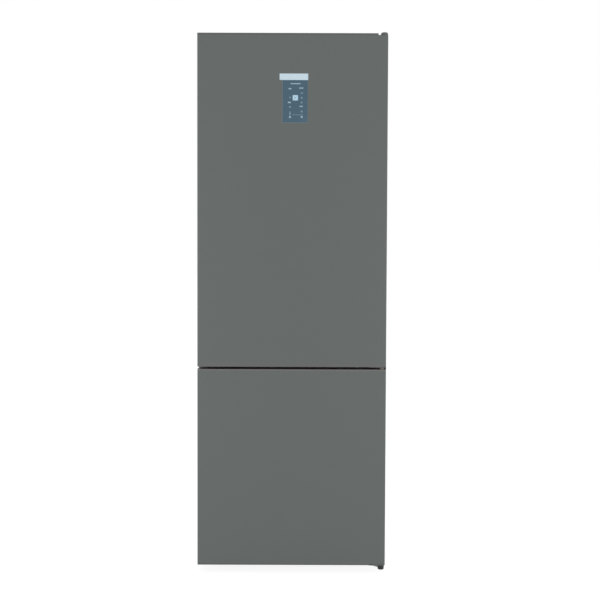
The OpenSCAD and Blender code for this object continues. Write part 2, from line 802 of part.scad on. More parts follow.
// Four spacers that carry the condenser and stand off from the wall
module wall_spacers() {
    x0 = (wire_count - 1) / 2 * wire_pitch + 6;
    levels = [cond_z0 + condenser_pitch, cond_z0 + (condenser_passes - 2) * condenser_pitch];
    color("#2b2e30") difference() {
        both_sides() for (z = levels) {
            through(soft_rect(x0, z - 16, x0 + 14, z + 16, 3), cab_back_y, wall_y);
        }
        for (z = levels) {
            rod_x(tube_r, -cond_half, cond_half, cond_y, z);
        }
    }
}

// Finned coil behind the cover in the freezer
module evaporator() {
    fins = 17;
    y0 = evap_cover_y + 8;
    y1 = back_y - 4;
    rows = 4;
    row_pitch = 40;
    half = freezer_half - evap_side_gap;
    fin_pitch = 2 * half / (fins - 1);
    color("#b9bec1") {
        for (i = [0:fins - 1]) {
            x = (i - (fins - 1) / 2) * fin_pitch;
            end = (i == 0 || i == fins - 1) ? back_y : y1;
            box([x - 0.6, y0, evap_z0], [x + 0.6, end, evap_z0 + evap_h]);
        }
        for (y = [y0 + 13, y0 + 37], row = [0:rows - 1]) {
            rod_x(4, -half - 6, half + 6, y, evap_z0 + 25 + row * row_pitch);
        }
        for (y = [y0 + 13, y0 + 37], row = [0:rows - 2]) {
            side = (row % 2 == 0) ? 1 : -1;
            translate([side * (half + 6), y, evap_z0 + 25 + (row + 0.5) * row_pitch]) rotate([90, 0, 0])
                rotate([0, 0, side > 0 ? -90 : 90]) rotate_extrude(angle = 180, $fn = 48)
                    translate([row_pitch / 2, 0]) circle(r = 4, $fn = 24);
        }
    }
}

// Panel in front of the coil with the fan's opening and the air slots
module evaporator_cover() {
    low = step_z + 16;
    high = freezer_ceiling - 16;
    color("#eceeec") difference() {
        union() {
            box([-freezer_half, evap_cover_y - 3, low], [freezer_half, evap_cover_y, high]);
            both_sides() box([freezer_half - 3, evap_cover_y - 3, low], [freezer_half, back_y, high]);
        }
        rod_y(fan_r + 3, evap_cover_y - 4, evap_cover_y + 1, 0, fan_z);
        for (row = [0:2], side = [-1, 1]) {
            box([side * 130 - 60, evap_cover_y - 4, low + 20 + row * 12],
                [side * 130 + 60, evap_cover_y + 1, low + 26 + row * 12]);
        }
    }
}

module fan_motor() {
    color("#3b3f40") {
        rod_y(17, fan_y + 16, fan_y + 36, 0, fan_z);
        rod_y(9, fan_y + 36, back_y, 0, fan_z);
        rod_y(2, fan_y + 1, fan_y + 16, 0, fan_z);
    }
}

// Fan wheel with five pitched blades on a bored hub
module fan_blade() {
    blades = 5;
    color("#e9e9e4") difference() {
        union() {
            rod_y(12, fan_y, fan_y + 14, 0, fan_z);
            intersection() {
                for (i = [0:blades - 1]) {
                    translate([0, fan_y + 7, fan_z]) rotate([0, i * 360 / blades, 0]) rotate([0, 0, 24])
                        translate([8, -0.8, -13]) cube([fan_r, 1.6, 26]);
                }
                rod_y(fan_r, fan_y, fan_y + 14, 0, fan_z);
            }
        }
        rod_y(2 + pin_clearance, fan_y - 1, fan_y + 15, 0, fan_z);
    }
}

// Fridge interior

// Hollow air duct up the back wall with outlets beside every shelf
module fridge_duct_panel() {
    half = 75;
    low = fridge_floor + 12;
    high = fridge_ceiling - 30;
    wall = 2.5;
    color("#eff1ef") {
        difference() {
            upright(concat([[-half, back_y]], arc(-half + 14, duct_y + 14, 14, 180, 270),
                arc(half - 14, duct_y + 14, 14, 270, 360), [[half, back_y]]), low, high);
            upright(concat([[-half + wall, back_y + 1]], arc(-half + 14, duct_y + 14, 14 - wall, 180, 270),
                arc(half - 14, duct_y + 14, 14 - wall, 270, 360), [[half - wall, back_y + 1]]),
                low + wall, high - wall);
            for (z = [wine_rack_z + 40, middle_shelf_z + 60, upper_shelf_z + 60], side = [-1, 1],
                slot = [0:2]) {
                box([side * 38 - 16, duct_y - 1, z + slot * 12],
                    [side * 38 + 16, duct_y + wall + 1, z + slot * 12 + 6]);
            }
        }
        difference() {
            both_sides() box([damper_half + 1, duct_y + wall, damper_z - 6],
                [damper_half + 5, back_y, damper_z + 6]);
            rod_x(1.5 + pin_clearance, -damper_half - 6, damper_half + 6, back_y - 5, damper_z);
        }
    }
}

damper_half = 30;
damper_z = fridge_floor + 120;

// Flap that lets cold air into the duct
module damper_flap() {
    color("#3b3f40") {
        box([-damper_half, duct_y + 4, damper_z - 1], [damper_half, back_y - 5, damper_z + 1]);
        rod_x(2.2, -damper_half, damper_half, back_y - 5, damper_z);
        rod_x(1.5, -damper_half - 4, damper_half + 4, back_y - 5, damper_z);
    }
}

module lamp_cover() {
    color("#f7f7ea") difference() {
        through(concat([[-70, fridge_ceiling]], arc(-64, fridge_ceiling - 10, 6, 180, 270),
            arc(64, fridge_ceiling - 10, 6, 270, 360), [[70, fridge_ceiling]]), shelf_front + 20,
                shelf_front + 110);
        for (i = [0:6]) {
            box([-66 + i * 20, shelf_front + 28, fridge_ceiling - 17],
                [-56 + i * 20, shelf_front + 102, fridge_ceiling - 15]);
        }
    }
}

module glass_pane(z) {
    box([-shelf_half, shelf_front + 3, z], [shelf_half, shelf_back - 3, z + glass_t]);
}

// Three clear shelves on the moulded ledges
module shelf_glass() {
    color("#cfe3dc") for (z = shelf_levels) {
        glass_pane(z);
    }
}

// Front and back edge strips of the three shelves
module shelf_trims() {
    front = [[shelf_front, -8], [shelf_front + 3, -10], [shelf_front + 5, -10], [shelf_front + 5, -2],
        [shelf_front + 16, -2], [shelf_front + 16, glass_t + 2], [shelf_front, glass_t + 2]];
    back = [[shelf_back - 14, -2], [shelf_back, -2], [shelf_back, glass_t + 14],
        [shelf_back - 3, glass_t + 14],
        [shelf_back - 3, glass_t + 2], [shelf_back - 14, glass_t + 2]];
    inner = fridge_half - ledge_w - 1;
    color("#e8ebea") difference() {
        for (z = shelf_levels) {
            translate([0, 0, z]) across(front, -inner, inner);
            translate([0, 0, z]) across(back, -inner, inner);
        }
        shelf_glass();
    }
}

// Chromed wire shelf for bottles
module wine_rack() {
    rod_r = 3;
    bar_r = 1.6;
    bar_pitch = 33;
    half = fridge_half - 1;
    bars = 2 * floor((half - 8) / bar_pitch) + 1;
    y0 = shelf_front + 8;
    y1 = shelf_back - 8;
    low = wine_rack_z + rod_r;
    high = low + rod_r + bar_r - 0.3;
    color("#d5d9db") {
        for (y = [y0, (y0 + y1) / 2, y1]) {
            rod_x(rod_r, -half, half, y, low);
        }
        for (i = [0:bars - 1]) {
            x = (i - (bars - 1) / 2) * bar_pitch;
            rod_y(bar_r, y0 - 6, y1 + 6, x, high);
        }
        both_sides() rod_y(bar_r, y0, y1, half - 3, low);
    }
}

module crisper_shelf_glass() {
    half = shelf_half - frame_w;
    color("#cfe3dc") box([-half, shelf_front + frame_w, crisper_shelf_z + frame_t - glass_t],
        [half, shelf_back - frame_w, crisper_shelf_z + frame_t]);
}

// Frame over the crisper with the runners of the chiller drawer and the track of the humidity slider
module crisper_shelf_frame() {
    z0 = crisper_shelf_z;
    lip = 8;
    half = shelf_half;
    color("#e8ebea") {
        difference() {
            box([-half, shelf_front, z0], [half, shelf_back, z0 + frame_t]);
            box([-half + frame_w + lip, shelf_front + frame_w + lip, z0 - 1],
                [half - frame_w - lip, shelf_back - frame_w - lip, z0 + frame_t + 1]);
            crisper_shelf_glass();
            box([-track_half, shelf_front - 1, z0 + 3], [track_half, shelf_front + 2, z0 + 9]);
            box([-track_half, shelf_front + 2, z0 + 1.5], [track_half, shelf_front + 6, z0 + 10.5]);
        }
        both_sides() box([tub_half - 12, shelf_front + 12, z0 + frame_t],
            [tub_half - 4, shelf_back - 30, chiller_z - fit]);
    }
}

track_half = 45;

// Knob that sets how much air reaches the crisper
module humidity_slider() {
    x0 = -track_half + 1;
    z0 = crisper_shelf_z;
    color("#5f8f7c") {
        box([x0, shelf_front + 2 + fit, z0 + 1.5 + fit], [x0 + 22, shelf_front + 6 - fit, z0 + 10.5 - fit]);
        box([x0 + 2, shelf_front - 1, z0 + 3 + fit], [x0 + 20, shelf_front + 2 + fit, z0 + 9 - fit]);
        for (i = [0:2]) {
            box([x0 + 6 + i * 4, shelf_front - 2, z0 + 3 + fit],
                [x0 + 8 + i * 4, shelf_front - 1, z0 + 9 - fit]);
        }
    }
}

// Drawers

// Open tub with round upright corners
module tub(half, y0, y1, z0, z1, r) {
    difference() {
        upright(soft_rect(-half, y0, half, y1, r), z0, z1);
        upright(soft_rect(-half + tub_wall, y0 + tub_wall, half - tub_wall, y1 - tub_wall,
            r - tub_wall + 0.5),
            z0 + tub_wall, z1 + 1);
    }
}

// Drawer of the fridge with a folded grip along its front edge
module fridge_drawer(y0, y1, z0, z1) {
    tub(tub_half, y0 + 10, y1, z0, z1, 12);
    difference() {
        across([[y0 + 2, z0], [y0 + 12, z0], [y0 + 12, z1], [y0, z1], [y0, z1 - 22], [y0 + 3, z1 - 26]],
            -tub_half, tub_half);
        across([[y0 + 3, z1 - 24], [y0 + 9, z1 - 24], [y0 + 9, z1 - 4], [y0 + 3, z1 - 4]],
            -tub_half * 0.7, tub_half * 0.7);
        across([[y0 - 1, z1 - 27], [y0 + 5, z1 - 27], [y0 + 5, z1 - 12], [y0 - 1, z1 - 12]],
            -tub_half * 0.7, tub_half * 0.7);
    }
}

module crisper_drawer() {
    color("#dfe9e6") fridge_drawer(shelf_front + 2, duct_y - 6, crisper_z, crisper_top);
}

module chiller_drawer() {
    color("#dfe9e6") fridge_drawer(shelf_front + 2, duct_y - 6, chiller_z, chiller_top);
}

// Drawer of the freezer that hangs by its rim on the ledges of the lining
module freezer_drawer(i) {
    z0 = drawer_bottoms[i];
    z1 = drawer_tops[i];
    y0 = drawer_front_y;
    grip_half = drawer_half * 0.6;
    color("#e4ecec") {
        difference() {
            union() {
                upright(soft_rect(-drawer_body_half, y0 + 2, drawer_body_half, drawer_backs[i], 14), z0, z1);
                upright(soft_rect(-drawer_half, y0 + 2, drawer_half, drawer_backs[i], 4), z1 - rim_t - 2,
                    z1 - 2);
            }
            upright(soft_rect(-drawer_body_half + tub_wall, y0 + 2 + drawer_front_t,
                drawer_body_half - tub_wall,
                drawer_backs[i] - tub_wall, 12), z0 + tub_wall, z1 + 1);
            box([-drawer_half - 1, y0, z0], [drawer_half + 1, y0 + drawer_front_t, z1 + 1]);
        }
        difference() {
            across([[y0 + 3, z0], [y0 + drawer_front_t, z0], [y0 + drawer_front_t, z1], [y0 + 2, z1],
                [y0, z1 - 4], [y0, z1 - 40], [y0 + 3, z1 - 46]], -drawer_half, drawer_half);
            across([[y0 - 1, z1 - 36], [y0 + 5, z1 - 36], [y0 + 5, z1 - 12], [y0 - 1, z1 - 18]],
                -grip_half, grip_half);
        }
    }
}

module freezer_drawer_bottom() {
    freezer_drawer(0);
}

module freezer_drawer_middle() {
    freezer_drawer(1);
}

module freezer_drawer_top() {
    freezer_drawer(2);
}

// Doors

// Plan of a door without its seal
module door_prism(inset, z0, z1) {
    front = concat(
        arc(-door_half + door_edge_r, door_front_y + door_edge_r, door_edge_r - inset, 180, 270),
        arc(door_half - door_edge_r, door_front_y + door_edge_r, door_edge_r - inset, 270, 360)
    );
    upright(concat(front, [[door_half - inset, door_back_y - inset],
        [-door_half + inset, door_back_y - inset]]),
        z0, z1);
}

// Folded steel sheet round the front and both sides of a door
module door_skin(z0, z1) {
    difference() {
        door_prism(0, z0, z1);
        door_prism(skin_t, z0 - 1, z1 + 1);
        box([-door_in + back_flange, door_back_y - skin_t - 1, z0 - 1],
            [door_in - back_flange, door_back_y + 1, z1 + 1]);
    }
}

// Plate that closes a door's end, with the bush for the hinge pin
module end_cap(outer_z, dir, plate_t, bore_r) {
    in_z = outer_z - dir * plate_t;
    lip_z = in_z - dir * cap_t;
    boss_z = in_z - dir * boss_depth;
    difference() {
        union() {
            door_prism(0, min(outer_z, in_z), max(outer_z, in_z));
            door_prism(skin_t, min(in_z, lip_z), max(in_z, lip_z));
            rod_z(boss_r, min(in_z, boss_z), max(in_z, boss_z), axis_x, axis_y);
        }
        rod_z(bore_r, min(outer_z + dir, boss_z + dir * 2), max(outer_z + dir, boss_z + dir * 2), axis_x,
            axis_y);
    }
}

// Plate under a door's hinge corner that stops the door at the end of its swing, with its screw
module door_stop(door_z, t, bore_r) {
    difference() {
        upright(soft_rect(axis_x - stop_far, door_front_y + 2, axis_x + stop_near, axis_y + stop_back, 6),
            door_z - t, door_z);
        rod_z(bore_r, door_z - t - 1, door_z + 1, axis_x, axis_y);
    }
    rod_z(3.5, door_z - 1.4 * t, door_z - t / 2, axis_x - stop_screw, axis_y);
}

// Foam core between the end caps
module door_core(z0, z1) {
    difference() {
        intersection() {
            door_prism(skin_t, z0, z1);
            box([-door_half, door_front_y - 1, z0], [door_half, door_back_y - liner_t, z1]);
        }
        rod_z(boss_r, z0 - 1, z0 + boss_depth - cap_t, axis_x, axis_y);
        rod_z(boss_r, z1 - boss_depth + cap_t, z1 + 1, axis_x, axis_y);
    }
}

// Recessed cup that the fingers reach into from the door's side
module grip_cup(z0) {
    difference() {
        grip_pocket(z0, 0);
        grip_pocket(z0, cup_wall);
    }
}

module grip_pocket(z0, inset) {
    deep = -door_half + grip_depth - inset;
    y0 = grip_y + inset;
    y1 = grip_y + grip_w - inset;
    mouth = -door_half - (inset > 0 ? 1 : 0);
    upright([[mouth, y0], [deep - 5, y0], [deep, y0 + 5], [deep, y1 - 5], [deep - 5, y1], [mouth, y1]],
        z0 + inset, z0 + grip_len - inset);
}

module seal_ring(half, z0, z1, y0, y1) {
    through(soft_rect(-half, z0, half, z1, 3), y0, y1);
}

// Folded magnetic seal: a wide foot, a narrow bellows and the magnet strip
module door_seal(inner_half, z0, z1) {
    foot = 2;
    magnet = 2;
    y0 = door_back_y;
    y1 = cab_front_y - fit;
    steps = [[0, y0, y0 + foot], [seal_w * 0.22, y0 + foot - 0.1, y1 - magnet + 0.1],
        [seal_w * 0.08, y1 - magnet, y1]];
    color("#7d8281") for (s = steps) {
        grow = seal_w - s[0];
        difference() {
            seal_ring(inner_half + grow, z0 - grow, z1 + grow, s[1], s[2]);
            seal_ring(inner_half + s[0], z0 - s[0], z1 + s[0], s[1] - 1, s[2] + 1);
        }
    }
}

// Fridge door

module fridge_door_skin() {
    color("#6b706e") difference() {
        door_skin(fridge_door_z + lower_cap_t, fridge_door_top - top_cap_t);
        grip_pocket(fridge_grip_z, 0);
        box([glass_x0 - fit, door_front_y - 1, glass_z - fit],
            [glass_x1 + fit, door_front_y + skin_t + 0.5, strip_z]);
        box([strip_x0 - fit, door_front_y - 1, strip_z],
            [strip_x1 + fit, door_front_y + skin_t + 0.5, strip_top + fit]);
    }
}

module fridge_plug_solid(inset) {
    from = door_back_y - liner_t - (inset > 0 ? 1 : 0);
    through(soft_rect(-plug_half + inset, plug_z0 + inset, plug_half - inset, plug_z1 - inset, liner_r),
        from, rack_back - inset);
    both_sides() across([
        [from, plug_z0 + 14 + inset], [rack_back, plug_z0 + 14 + inset],
        [door_back_y + rail_reach - inset, plug_z0 + 44 + inset],
            [door_back_y + rail_reach - inset, plug_z1 - 44 - inset],
        [rack_back, plug_z1 - 14 - inset], [from, plug_z1 - 14 - inset]
    ], rail_in + inset, rail_out - inset);
}

module fridge_door_foam() {
    color("#e6dfc8") difference() {
        union() {
            door_core(fridge_door_z + lower_cap_t + cap_t, fridge_door_top - top_cap_t - cap_t);
            fridge_plug_solid(liner_t);
        }
        grip_pocket(fridge_grip_z, 0);
        housing_block(0);
    }
}

// Moulded inner side of the fridge door with the rails and rests of the racks
module fridge_door_liner() {
    half = door_in - back_flange;
    color("#f4f5f3") {
        difference() {
            union() {
                box([-half, door_back_y - liner_t, fridge_door_z + lower_cap_t + cap_t],
                    [half, door_back_y, fridge_door_top - top_cap_t - cap_t]);
                fridge_plug_solid(0);
            }
            fridge_plug_solid(liner_t);
        }
        for (z = rack_levels) {
            both_sides() box([rail_in - 8, rack_back - 0.5, z - 10], [rail_in + 0.5, rack_back + 34, z]);
        }
    }
}

bottle_rack_z = crisper_z + 30;
dairy_rack_z = plug_z1 - dairy_drop;
rack_step = (dairy_rack_z - bottle_rack_z - bottle_extra) / 3;
rack_levels = [bottle_rack_z, dairy_rack_z - 2 * rack_step, dairy_rack_z - rack_step, dairy_rack_z];

module fridge_door_caps() {
    color("#8e9290") {
        end_cap(fridge_door_z, -1, lower_cap_t, pin_r + pin_clearance);
        door_stop(fridge_door_z, upper_stop_t, pin_r + 2.5);
        difference() {
            end_cap(fridge_door_top, 1, top_cap_t, pin_r + pin_clearance);
            box([notch_x, door_front_y - 1, fridge_door_top - top_cap_t],
                [half_w, door_back_y + 1, overall_h]);
        }
    }
}

module fridge_door_seal() {
    door_seal(fridge_half + 6, fridge_floor - 6, fridge_ceiling + 6);
}

module fridge_door_grip() {
    color("#5d6261") grip_cup(fridge_grip_z);
}

module housing_block(inset) {
    side = 4;
    box([strip_x0 - side + inset, door_front_y + skin_t, glass_z - side + inset],
        [strip_x1 + side - inset, door_front_y + housing_d - inset, strip_top + side - inset]);
}

// Tray behind the display glass with its recess for the two panes
module display_housing() {
    back = front_y + pane_t;
    color("#2b2e30") difference() {
        housing_block(0);
        box([glass_x0 - fit, front_y, glass_z - fit], [glass_x1 + fit, back, strip_z]);
        box([strip_x0 - fit, front_y, strip_z], [strip_x1 + fit, back, strip_top + fit]);
        box([glass_x0 + 4, back - 1, glass_z + 4], [glass_x1 - 4, door_front_y + housing_d - 3, strip_z - 4]);
    }
}

module display_glass() {
    color("#51697a") box([glass_x0, front_y, glass_z], [glass_x1, front_y + pane_t, strip_z - fit]);
}

module display_strip() {
    color("#c7d9e4") box([strip_x0, front_y, strip_z], [strip_x1, front_y + pane_t, strip_top]);
}

// Open rack between the rails of the door, with a raised front band
module door_rack(z0, h) {
    r = 22;
    outer = concat([[-rack_half, rack_back]], [[rack_half, rack_back]],
        arc(rack_half - r, rack_front - r, r, 0, 90), arc(-rack_half + r, rack_front - r, r, 90, 180));
    inner = concat([[-rack_half + tub_wall, rack_back + tub_wall]],
        [[rack_half - tub_wall, rack_back + tub_wall]],
        arc(rack_half - r, rack_front - r, r - tub_wall, 0, 90),
            arc(-rack_half + r, rack_front - r, r - tub_wall, 90, 180));
    difference() {
        upright(outer, z0, z0 + h);
        upright(inner, z0 + tub_wall, z0 + h + 1);
        across([[rack_back - 1, z0 + h * 0.6], [rack_back + tub_wall + 1, z0 + h * 0.6],
            [rack_back + tub_wall + 1, z0 + h + 1], [rack_back - 1, z0 + h + 1]],
            -rack_half + tub_wall + 10, rack_half - tub_wall - 10);
    }
}

lid_axis_y = rack_back + 9;
lid_axis_z = rack_levels[3] + dairy_h + 12;

module dairy_rack() {
    z0 = rack_levels[3];
    color("#e3ecea") difference() {
        union() {
            door_rack(z0, dairy_h);
            both_sides() box([rack_half - tub_wall, rack_back, z0 + dairy_h - 20],
                [rack_half, rack_back + 18, lid_axis_z + 7]);
        }
        rod_x(2 + pin_clearance, -rack_half - 1, rack_half + 1, lid_axis_y, lid_axis_z);
    }
}

// Flap over the dairy rack that lifts about its back edge
module dairy_lid() {
    half = rack_half - tub_wall - fit;
    front = rack_front - 1;
    color("#d4e2e4") {
        across([[lid_axis_y, lid_axis_z - 1], [front - 6, lid_axis_z - 1], [front - 2, lid_axis_z - 4],
            [front - 2, lid_axis_z - 11], [front, lid_axis_z - 11], [front, lid_axis_z - 3],
                [front - 5, lid_axis_z + 1],
            [lid_axis_y, lid_axis_z + 1]], -half, half);
        rod_x(3.5, -half, half, lid_axis_y, lid_axis_z);
        rod_x(2, -rack_half, rack_half, lid_axis_y, lid_axis_z);
    }
}

// Two equal racks in the middle of the door
module door_racks() {
    color("#e3ecea") {
        door_rack(rack_levels[1], rack_h);
        door_rack(rack_levels[2], rack_h);
    }
}

// Deep rack for bottles at the bottom of the door
module door_bottle_rack() {
    color("#e3ecea") door_rack(rack_levels[0], bottle_rack_h);
}

// Freezer door

module freezer_door_skin() {
    color("#6b706e") difference() {
        door_skin(freezer_door_z + cap_t, freezer_door_top - cap_t);
        grip_pocket(freezer_grip_z, 0);
    }
}

freezer_door_z = floor_gap;

module freezer_plug_solid(inset) {
    from = door_back_y - liner_t - (inset > 0 ? 1 : 0);
    through(soft_rect(-freezer_plug_half + inset, freezer_floor + plug_gap + inset, freezer_plug_half - inset,
        freezer_ceiling - plug_gap - inset, liner_r), from, door_back_y + freezer_plug - inset);
}

module freezer_door_foam() {
    color("#e6dfc8") difference() {
        union() {
            door_core(freezer_door_z + 2 * cap_t, freezer_door_top - 2 * cap_t);
            freezer_plug_solid(liner_t);
        }
        grip_pocket(freezer_grip_z, 0);
    }
}

module freezer_door_liner() {
    half = door_in - back_flange;
    color("#f4f5f3") difference() {
        union() {
            box([-half, door_back_y - liner_t, freezer_door_z + 2 * cap_t],
                [half, door_back_y, freezer_door_top - 2 * cap_t]);
            freezer_plug_solid(0);
        }
        freezer_plug_solid(liner_t);
        for (i = [0:2]) {
            z = freezer_floor + 60 + i * 150;
            box([-freezer_plug_half + 40, door_back_y + freezer_plug - 1, z],
                [freezer_plug_half - 40, door_back_y + freezer_plug + 1, z + 100]);
        }
    }
}

// End caps of the freezer door, with the stop for the door at the bottom
module freezer_door_caps() {
    color("#8e9290") {
        end_cap(freezer_door_z, -1, cap_t, lower_pin_r + pin_clearance);
        door_stop(freezer_door_z, lower_stop_t, lower_pin_r + 2.5);
        end_cap(freezer_door_top, 1, cap_t, pin_r + pin_clearance);
    }
}

module freezer_door_seal() {
    door_seal(freezer_half + 6, freezer_floor - 6, freezer_ceiling + 6);
}

module freezer_door_grip() {
    color("#5d6261") grip_cup(freezer_grip_z);
}

outer_wrap();
rear_panel();
base_pan();
cabinet_foam();
fridge_liner();
freezer_liner();
mullion_rail();
plinth();
top_hinge();
top_hinge_cover();
middle_hinge();
bottom_hinge();
compressor();
compressor_mounts();
relay_box();
drip_tray();
condenser_tube();
condenser_wires();
wall_spacers();
fridge_duct_panel();
lamp_cover();
shelf_glass();
shelf_trims();
wine_rack();
crisper_shelf_glass();
crisper_shelf_frame();
evaporator();
evaporator_cover();
fan_motor();
fan_blade();
damper_flap();
humidity_slider();
crisper_drawer();
chiller_drawer();
freezer_drawer_top();
freezer_drawer_middle();
freezer_drawer_bottom();
foot_left();
foot_right();
roller_left();
roller_right();
fridge_door_skin();
fridge_door_foam();
fridge_door_liner();
fridge_door_caps();
fridge_door_seal();
fridge_door_grip();
display_housing();
display_glass();
display_strip();
dairy_rack();
dairy_lid();
door_racks();
door_bottle_rack();
freezer_door_skin();
freezer_door_foam();
freezer_door_liner();
freezer_door_caps();
freezer_door_seal();
freezer_door_grip();
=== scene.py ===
"""A free-standing two-door fridge-freezer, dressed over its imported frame.

The frame gives every solid at its real place. The classes below add modelled pieces for the surfaces that
show, such as the folded door sheets, the mouldings, the seals and the display, and give every node a finish.
"""

from __future__ import annotations

import json
import logging
import math
from dataclasses import dataclass
from enum import Enum
from typing import Callable, Iterable, Optional, Sequence, Union

import bpy
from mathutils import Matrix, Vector

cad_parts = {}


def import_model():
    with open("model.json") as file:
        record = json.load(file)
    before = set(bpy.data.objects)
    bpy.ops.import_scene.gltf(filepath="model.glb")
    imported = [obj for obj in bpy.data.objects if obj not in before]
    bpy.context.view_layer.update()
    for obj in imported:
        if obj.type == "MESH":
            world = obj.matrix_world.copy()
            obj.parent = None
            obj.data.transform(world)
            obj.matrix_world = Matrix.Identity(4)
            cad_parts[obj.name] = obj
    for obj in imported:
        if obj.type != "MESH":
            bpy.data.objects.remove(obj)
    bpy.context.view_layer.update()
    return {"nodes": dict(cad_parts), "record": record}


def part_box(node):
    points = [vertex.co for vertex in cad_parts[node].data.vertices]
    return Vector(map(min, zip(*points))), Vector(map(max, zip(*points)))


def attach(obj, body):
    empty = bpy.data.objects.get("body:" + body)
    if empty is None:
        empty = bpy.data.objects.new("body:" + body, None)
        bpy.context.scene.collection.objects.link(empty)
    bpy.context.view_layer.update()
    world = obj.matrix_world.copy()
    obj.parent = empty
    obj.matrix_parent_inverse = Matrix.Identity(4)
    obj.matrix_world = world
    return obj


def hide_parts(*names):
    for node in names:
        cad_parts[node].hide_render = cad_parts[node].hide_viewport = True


LOG = logging.getLogger("fridge_freezer")
MM = 0.001

WHITE = (1.0, 1.0, 1.0, 1.0)
TOUCH = 1e-6  # Two places nearer than this, in metres, are one
NEAR = 1e-5  # How near an edge or face lies to a plane that it belongs to, in metres
FACING = 0.9  # The least part of a normal along the axis that its face looks along


class Kind(Enum):
    """The ways in which a surface can be finished."""

    PAINT = "paint"
    MOULDED = "moulded"
    METAL = "metal"
    SPANGLE = "spangle"
    CHROME = "chrome"
    RUBBER = "rubber"
    FOAM = "foam"
    CLEAR = "clear"
    GLASS = "glass"
    PRINT = "print"


@dataclass(frozen=True)
class Finish:
    """The look of one material: its colour, its gloss and the size of its grain in millimetres."""

    name: str
    kind: Kind
    colour: str
    slot: str
    roughness: float = 0.5
    gloss_spread: float = 0.06
    mottle: float = 0.03
    grain: float = 1.2
    bump: float = 0.04
    alpha: float = 1.0
    glow: float = 0.0


@dataclass(frozen=True)
class Grain:
    """How the fine pattern of a kind of finish is drawn.

    The cell is the size of its flakes, crystals or bubbles in millimetres, and 0 where it has none. The
    share is how much of the colour's change comes from this pattern. The rest comes from slow clouds.
    """

    stretch: tuple[float, float, float] = (1.0, 1.0, 1.0)
    cell: float = 0.0
    bubbles: bool = False
    share: float = 0.3


GRAINS: dict[Kind, Grain] = {
    Kind.PAINT: Grain(cell=0.8, share=0.6),
    Kind.MOULDED: Grain(share=0.4),
    Kind.METAL: Grain(stretch=(0.06, 1.0, 1.0), share=0.6),
    Kind.SPANGLE: Grain(cell=6.0, share=0.75),
    Kind.CHROME: Grain(),
    Kind.RUBBER: Grain(share=0.5),
    Kind.FOAM: Grain(cell=2.2, bubbles=True, share=0.5),
    Kind.CLEAR: Grain(stretch=(1.0, 1.0, 0.1), share=0.6),
    Kind.GLASS: Grain(stretch=(1.0, 0.4, 1.0), share=0.6),
    Kind.PRINT: Grain(),
}


class Wire:
    """An output socket. Arithmetic on it adds Math nodes to its sheet."""

    def __init__(self, sheet: "Sheet", socket: bpy.types.NodeSocket) -> None:
        """Wraps a socket of a sheet."""
        self.sheet = sheet
        self.socket = socket

    def _maths(self, operation: str, first: "Value", second: "Value") -> "Wire":
        """Adds one Math node.

        Args:
            operation: Name of the node's operation.
            first: The first value or wire.
            second: The second value or wire.

        Returns:
            The node's result.
        """
        return self.sheet.node("ShaderNodeMath", {"operation": operation}, {0: first, 1: second})

    def __add__(self, other: "Value") -> "Wire":
        """Sum."""
        return self._maths("ADD", self, other)

    def __sub__(self, other: "Value") -> "Wire":
        """Difference."""
        return self._maths("SUBTRACT", self, other)

    def __mul__(self, other: "Value") -> "Wire":
        """Product."""
        return self._maths("MULTIPLY", self, other)

    def most(self, other: "Value") -> "Wire":
        """The greater of two values."""
        return self._maths("MAXIMUM", self, other)


Value = Union[float, Wire, Sequence[float]]


class Sheet:
    """The node sheet of a material or of the world."""

    def __init__(self, holder: Union[bpy.types.Material, bpy.types.World]) -> None:
        """Empties the sheet of a material or of the world."""
        holder.use_nodes = True
        self.holder = holder
        self.tree = holder.node_tree
        self.tree.nodes.clear()

    def node(self, kind: str, settings: Optional[dict] = None, inputs: Optional[dict] = None,
             output: Union[int, str] = 0) -> Wire:
        """Adds one node.

        Args:
            kind: The node's type.
            settings: Attributes of the node, which are set first.
            inputs: Values or wires by the name or number of the socket.
            output: Name or number of the output that is returned.

        Returns:
            The chosen output.
        """
        made = self.tree.nodes.new(kind)
        for key, value in (settings or {}).items():
            setattr(made, key, value)
        for key, value in (inputs or {}).items():
            socket = made.inputs[key]
            if isinstance(value, Wire):
                self.tree.links.new(value.socket, socket)
            else:
                socket.default_value = value
        return Wire(self, made.outputs[output]) if made.outputs else Wire(self, None)


def linear(hexadecimal: str) -> tuple[float, float, float, float]:
    """Turns a written colour into the linear values that shaders take.

    Args:
        hexadecimal: The colour as #rrggbb.

    Returns:
        Red, green, blue and 1.
    """
    values = []
    for start in (1, 3, 5):
        part = int(hexadecimal[start:start + 2], 16) / 255
        values.append(part / 12.92 if part <= 0.04045 else ((part + 0.055) / 1.055) ** 2.4)
    return (values[0], values[1], values[2], 1.0)


